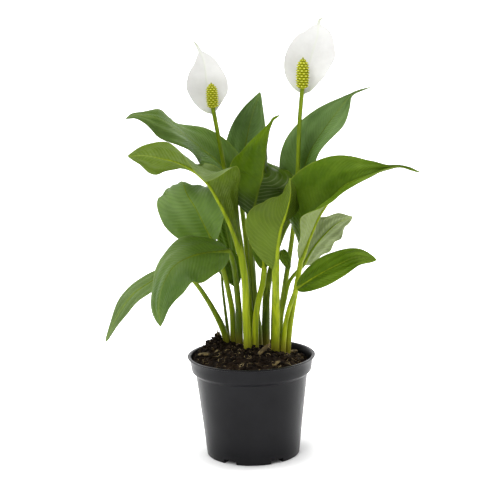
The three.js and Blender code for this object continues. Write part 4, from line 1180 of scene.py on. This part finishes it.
def chip_sheet(at, size, turn, tilt, seed):
    """A splinter with broken ends, from a rounded bar pushed about by noise."""
    length, width, height = size
    turn, tilt = math.radians(turn), math.radians(tilt)
    bm = bmesh.new()
    bmesh.ops.create_cube(bm, size=1)
    bmesh.ops.subdivide_edges(bm, edges=bm.edges, cuts=7, use_grid_fill=True)
    spin = Matrix.Rotation(turn, 3, "Z") @ Matrix.Rotation(-tilt, 3, "Y")
    centre = Vector((*at, soil_height(*at) + height * 0.35 + 0.35 * length * math.sin(tilt)))
    verts = []
    for v in bm.verts:
        x, y, z = v.co
        taper = 1 - 0.35 * abs(2 * x) ** 2
        round_y = y * taper * (1 - 0.25 * abs(2 * z) ** 2)
        round_z = z * taper * (1 - 0.4 * abs(2 * y) ** 2)
        q = Vector((x * length, round_y * width, round_z * height))
        shove = Vector((q.x * 0.15, q.y * 0.9, q.z * 0.9)) + Vector((seed * 7.1, 0, 0))
        spots = (shove * 1.3, shove * 0.8 + Vector((9, 9, 9)), shove + Vector((4, 0, 2)))
        q += 0.7 * Vector([noise.noise(spot) for spot in spots])
        verts.append(tuple(centre + spin @ q))
    faces = [tuple(v.index for v in f.verts) for f in bm.faces]
    bm.free()
    return verts, faces


bark_look = bark_material()
for seed, (name, *shape) in enumerate(CHIPS):
    verts, faces = chip_sheet(*shape, seed)
    make_piece(f"{name}_fine", verts, faces, [bark_look], "bark", [name])

# ---------------- studio

PALE = (0.9, 0.9, 0.9, 1)
WHITE = (1, 1, 1, 1)
# Metres from the middle between which the floor's own light comes in, so that its shadow ends.
SHADOW_START, SHADOW_END = 0.03, 0.12


def stage_sheet(name, corners, look):
    """A plain sheet of the studio."""
    piece = put(name, new_mesh(name, corners, [(0, 1, 2, 3)], look.material))


look = Nodes("floor_white")
away = look.node("VectorMath")
away.operation = "LENGTH"
look.join(look.place, away.inputs[0])
look.finish(PALE, 0.7, Specular_IOR_Level=0.2, Emission_Color=WHITE)
glow = look.ramp(away.outputs["Value"], SHADOW_START, SHADOW_END)
look.join(glow, look.shader.inputs["Emission Strength"])
stage_sheet("floor", [(-5, -4, 0), (5, -4, 0), (5, 3, 0), (-5, 3, 0)], look)
look = Nodes("backdrop_white")
look.finish(PALE, 0.8, Specular_IOR_Level=0.0, Emission_Color=WHITE, Emission_Strength=0.9)
stage_sheet("backdrop", [(-5, 3, 0), (5, 3, 0), (5, 3, 4), (-5, 3, 4)], look)


def soft_box(name, place, target, width, height, power):
    lamp = bpy.data.lights.new(name, "AREA")
    lamp.shape = "RECTANGLE"
    lamp.size, lamp.size_y = width, height
    lamp.energy = power
    light = put(name, lamp)
    light.location = place
    light.rotation_mode = "QUATERNION"
    light.rotation_quaternion = (Vector(target) - Vector(place)).to_track_quat("-Z", "Y")


soft_box("left_box", (-1.5, 0.5, 0.6), (0, 0, 0.2), 0.8, 1.4, 9)
soft_box("right_box", (1.5, 0.6, 0.6), (0, 0, 0.2), 0.8, 1.4, 21)
soft_box("top_box", (-0.3, 0.0, 1.6), (0, 0, 0.1), 1.2, 1.2, 20)
soft_box("front_box", (-0.9, -1.9, 1.5), (0, 0, 0.2), 0.9, 0.9, 22)

world = bpy.data.worlds.new("studio")
world.use_nodes = True
world.node_tree.nodes["Background"].inputs["Color"].default_value = WHITE
world.node_tree.nodes["Background"].inputs["Strength"].default_value = 0.24
bpy.context.scene.world = world
bpy.context.scene.view_settings.view_transform = "Standard"

# ---------------- camera

CAMERA_PLACE = (0.001, -1.237, 0.414)
CAMERA_PITCH = math.radians(10.07)
CAMERA_ROLL = math.radians(1.3)
SENSOR_WIDTH = 36
FOCAL_SHARE = 1355 / 500  # focal length in widths of the picture

forward = Vector((0, math.cos(CAMERA_PITCH), -math.sin(CAMERA_PITCH)))
level_up = Vector((0, math.sin(CAMERA_PITCH), math.cos(CAMERA_PITCH)))
level_side = Vector((1, 0, 0))
side = level_side * math.cos(CAMERA_ROLL) - level_up * math.sin(CAMERA_ROLL)
upright = level_side * math.sin(CAMERA_ROLL) + level_up * math.cos(CAMERA_ROLL)
camera = put("camera", bpy.data.cameras.new("camera"))
turned = Matrix((side, upright, -forward)).transposed().to_4x4()
camera.matrix_world = Matrix.Translation(CAMERA_PLACE) @ turned
camera.data.lens = SENSOR_WIDTH * FOCAL_SHARE
camera.data.sensor_width = SENSOR_WIDTH
bpy.context.scene.camera = camera
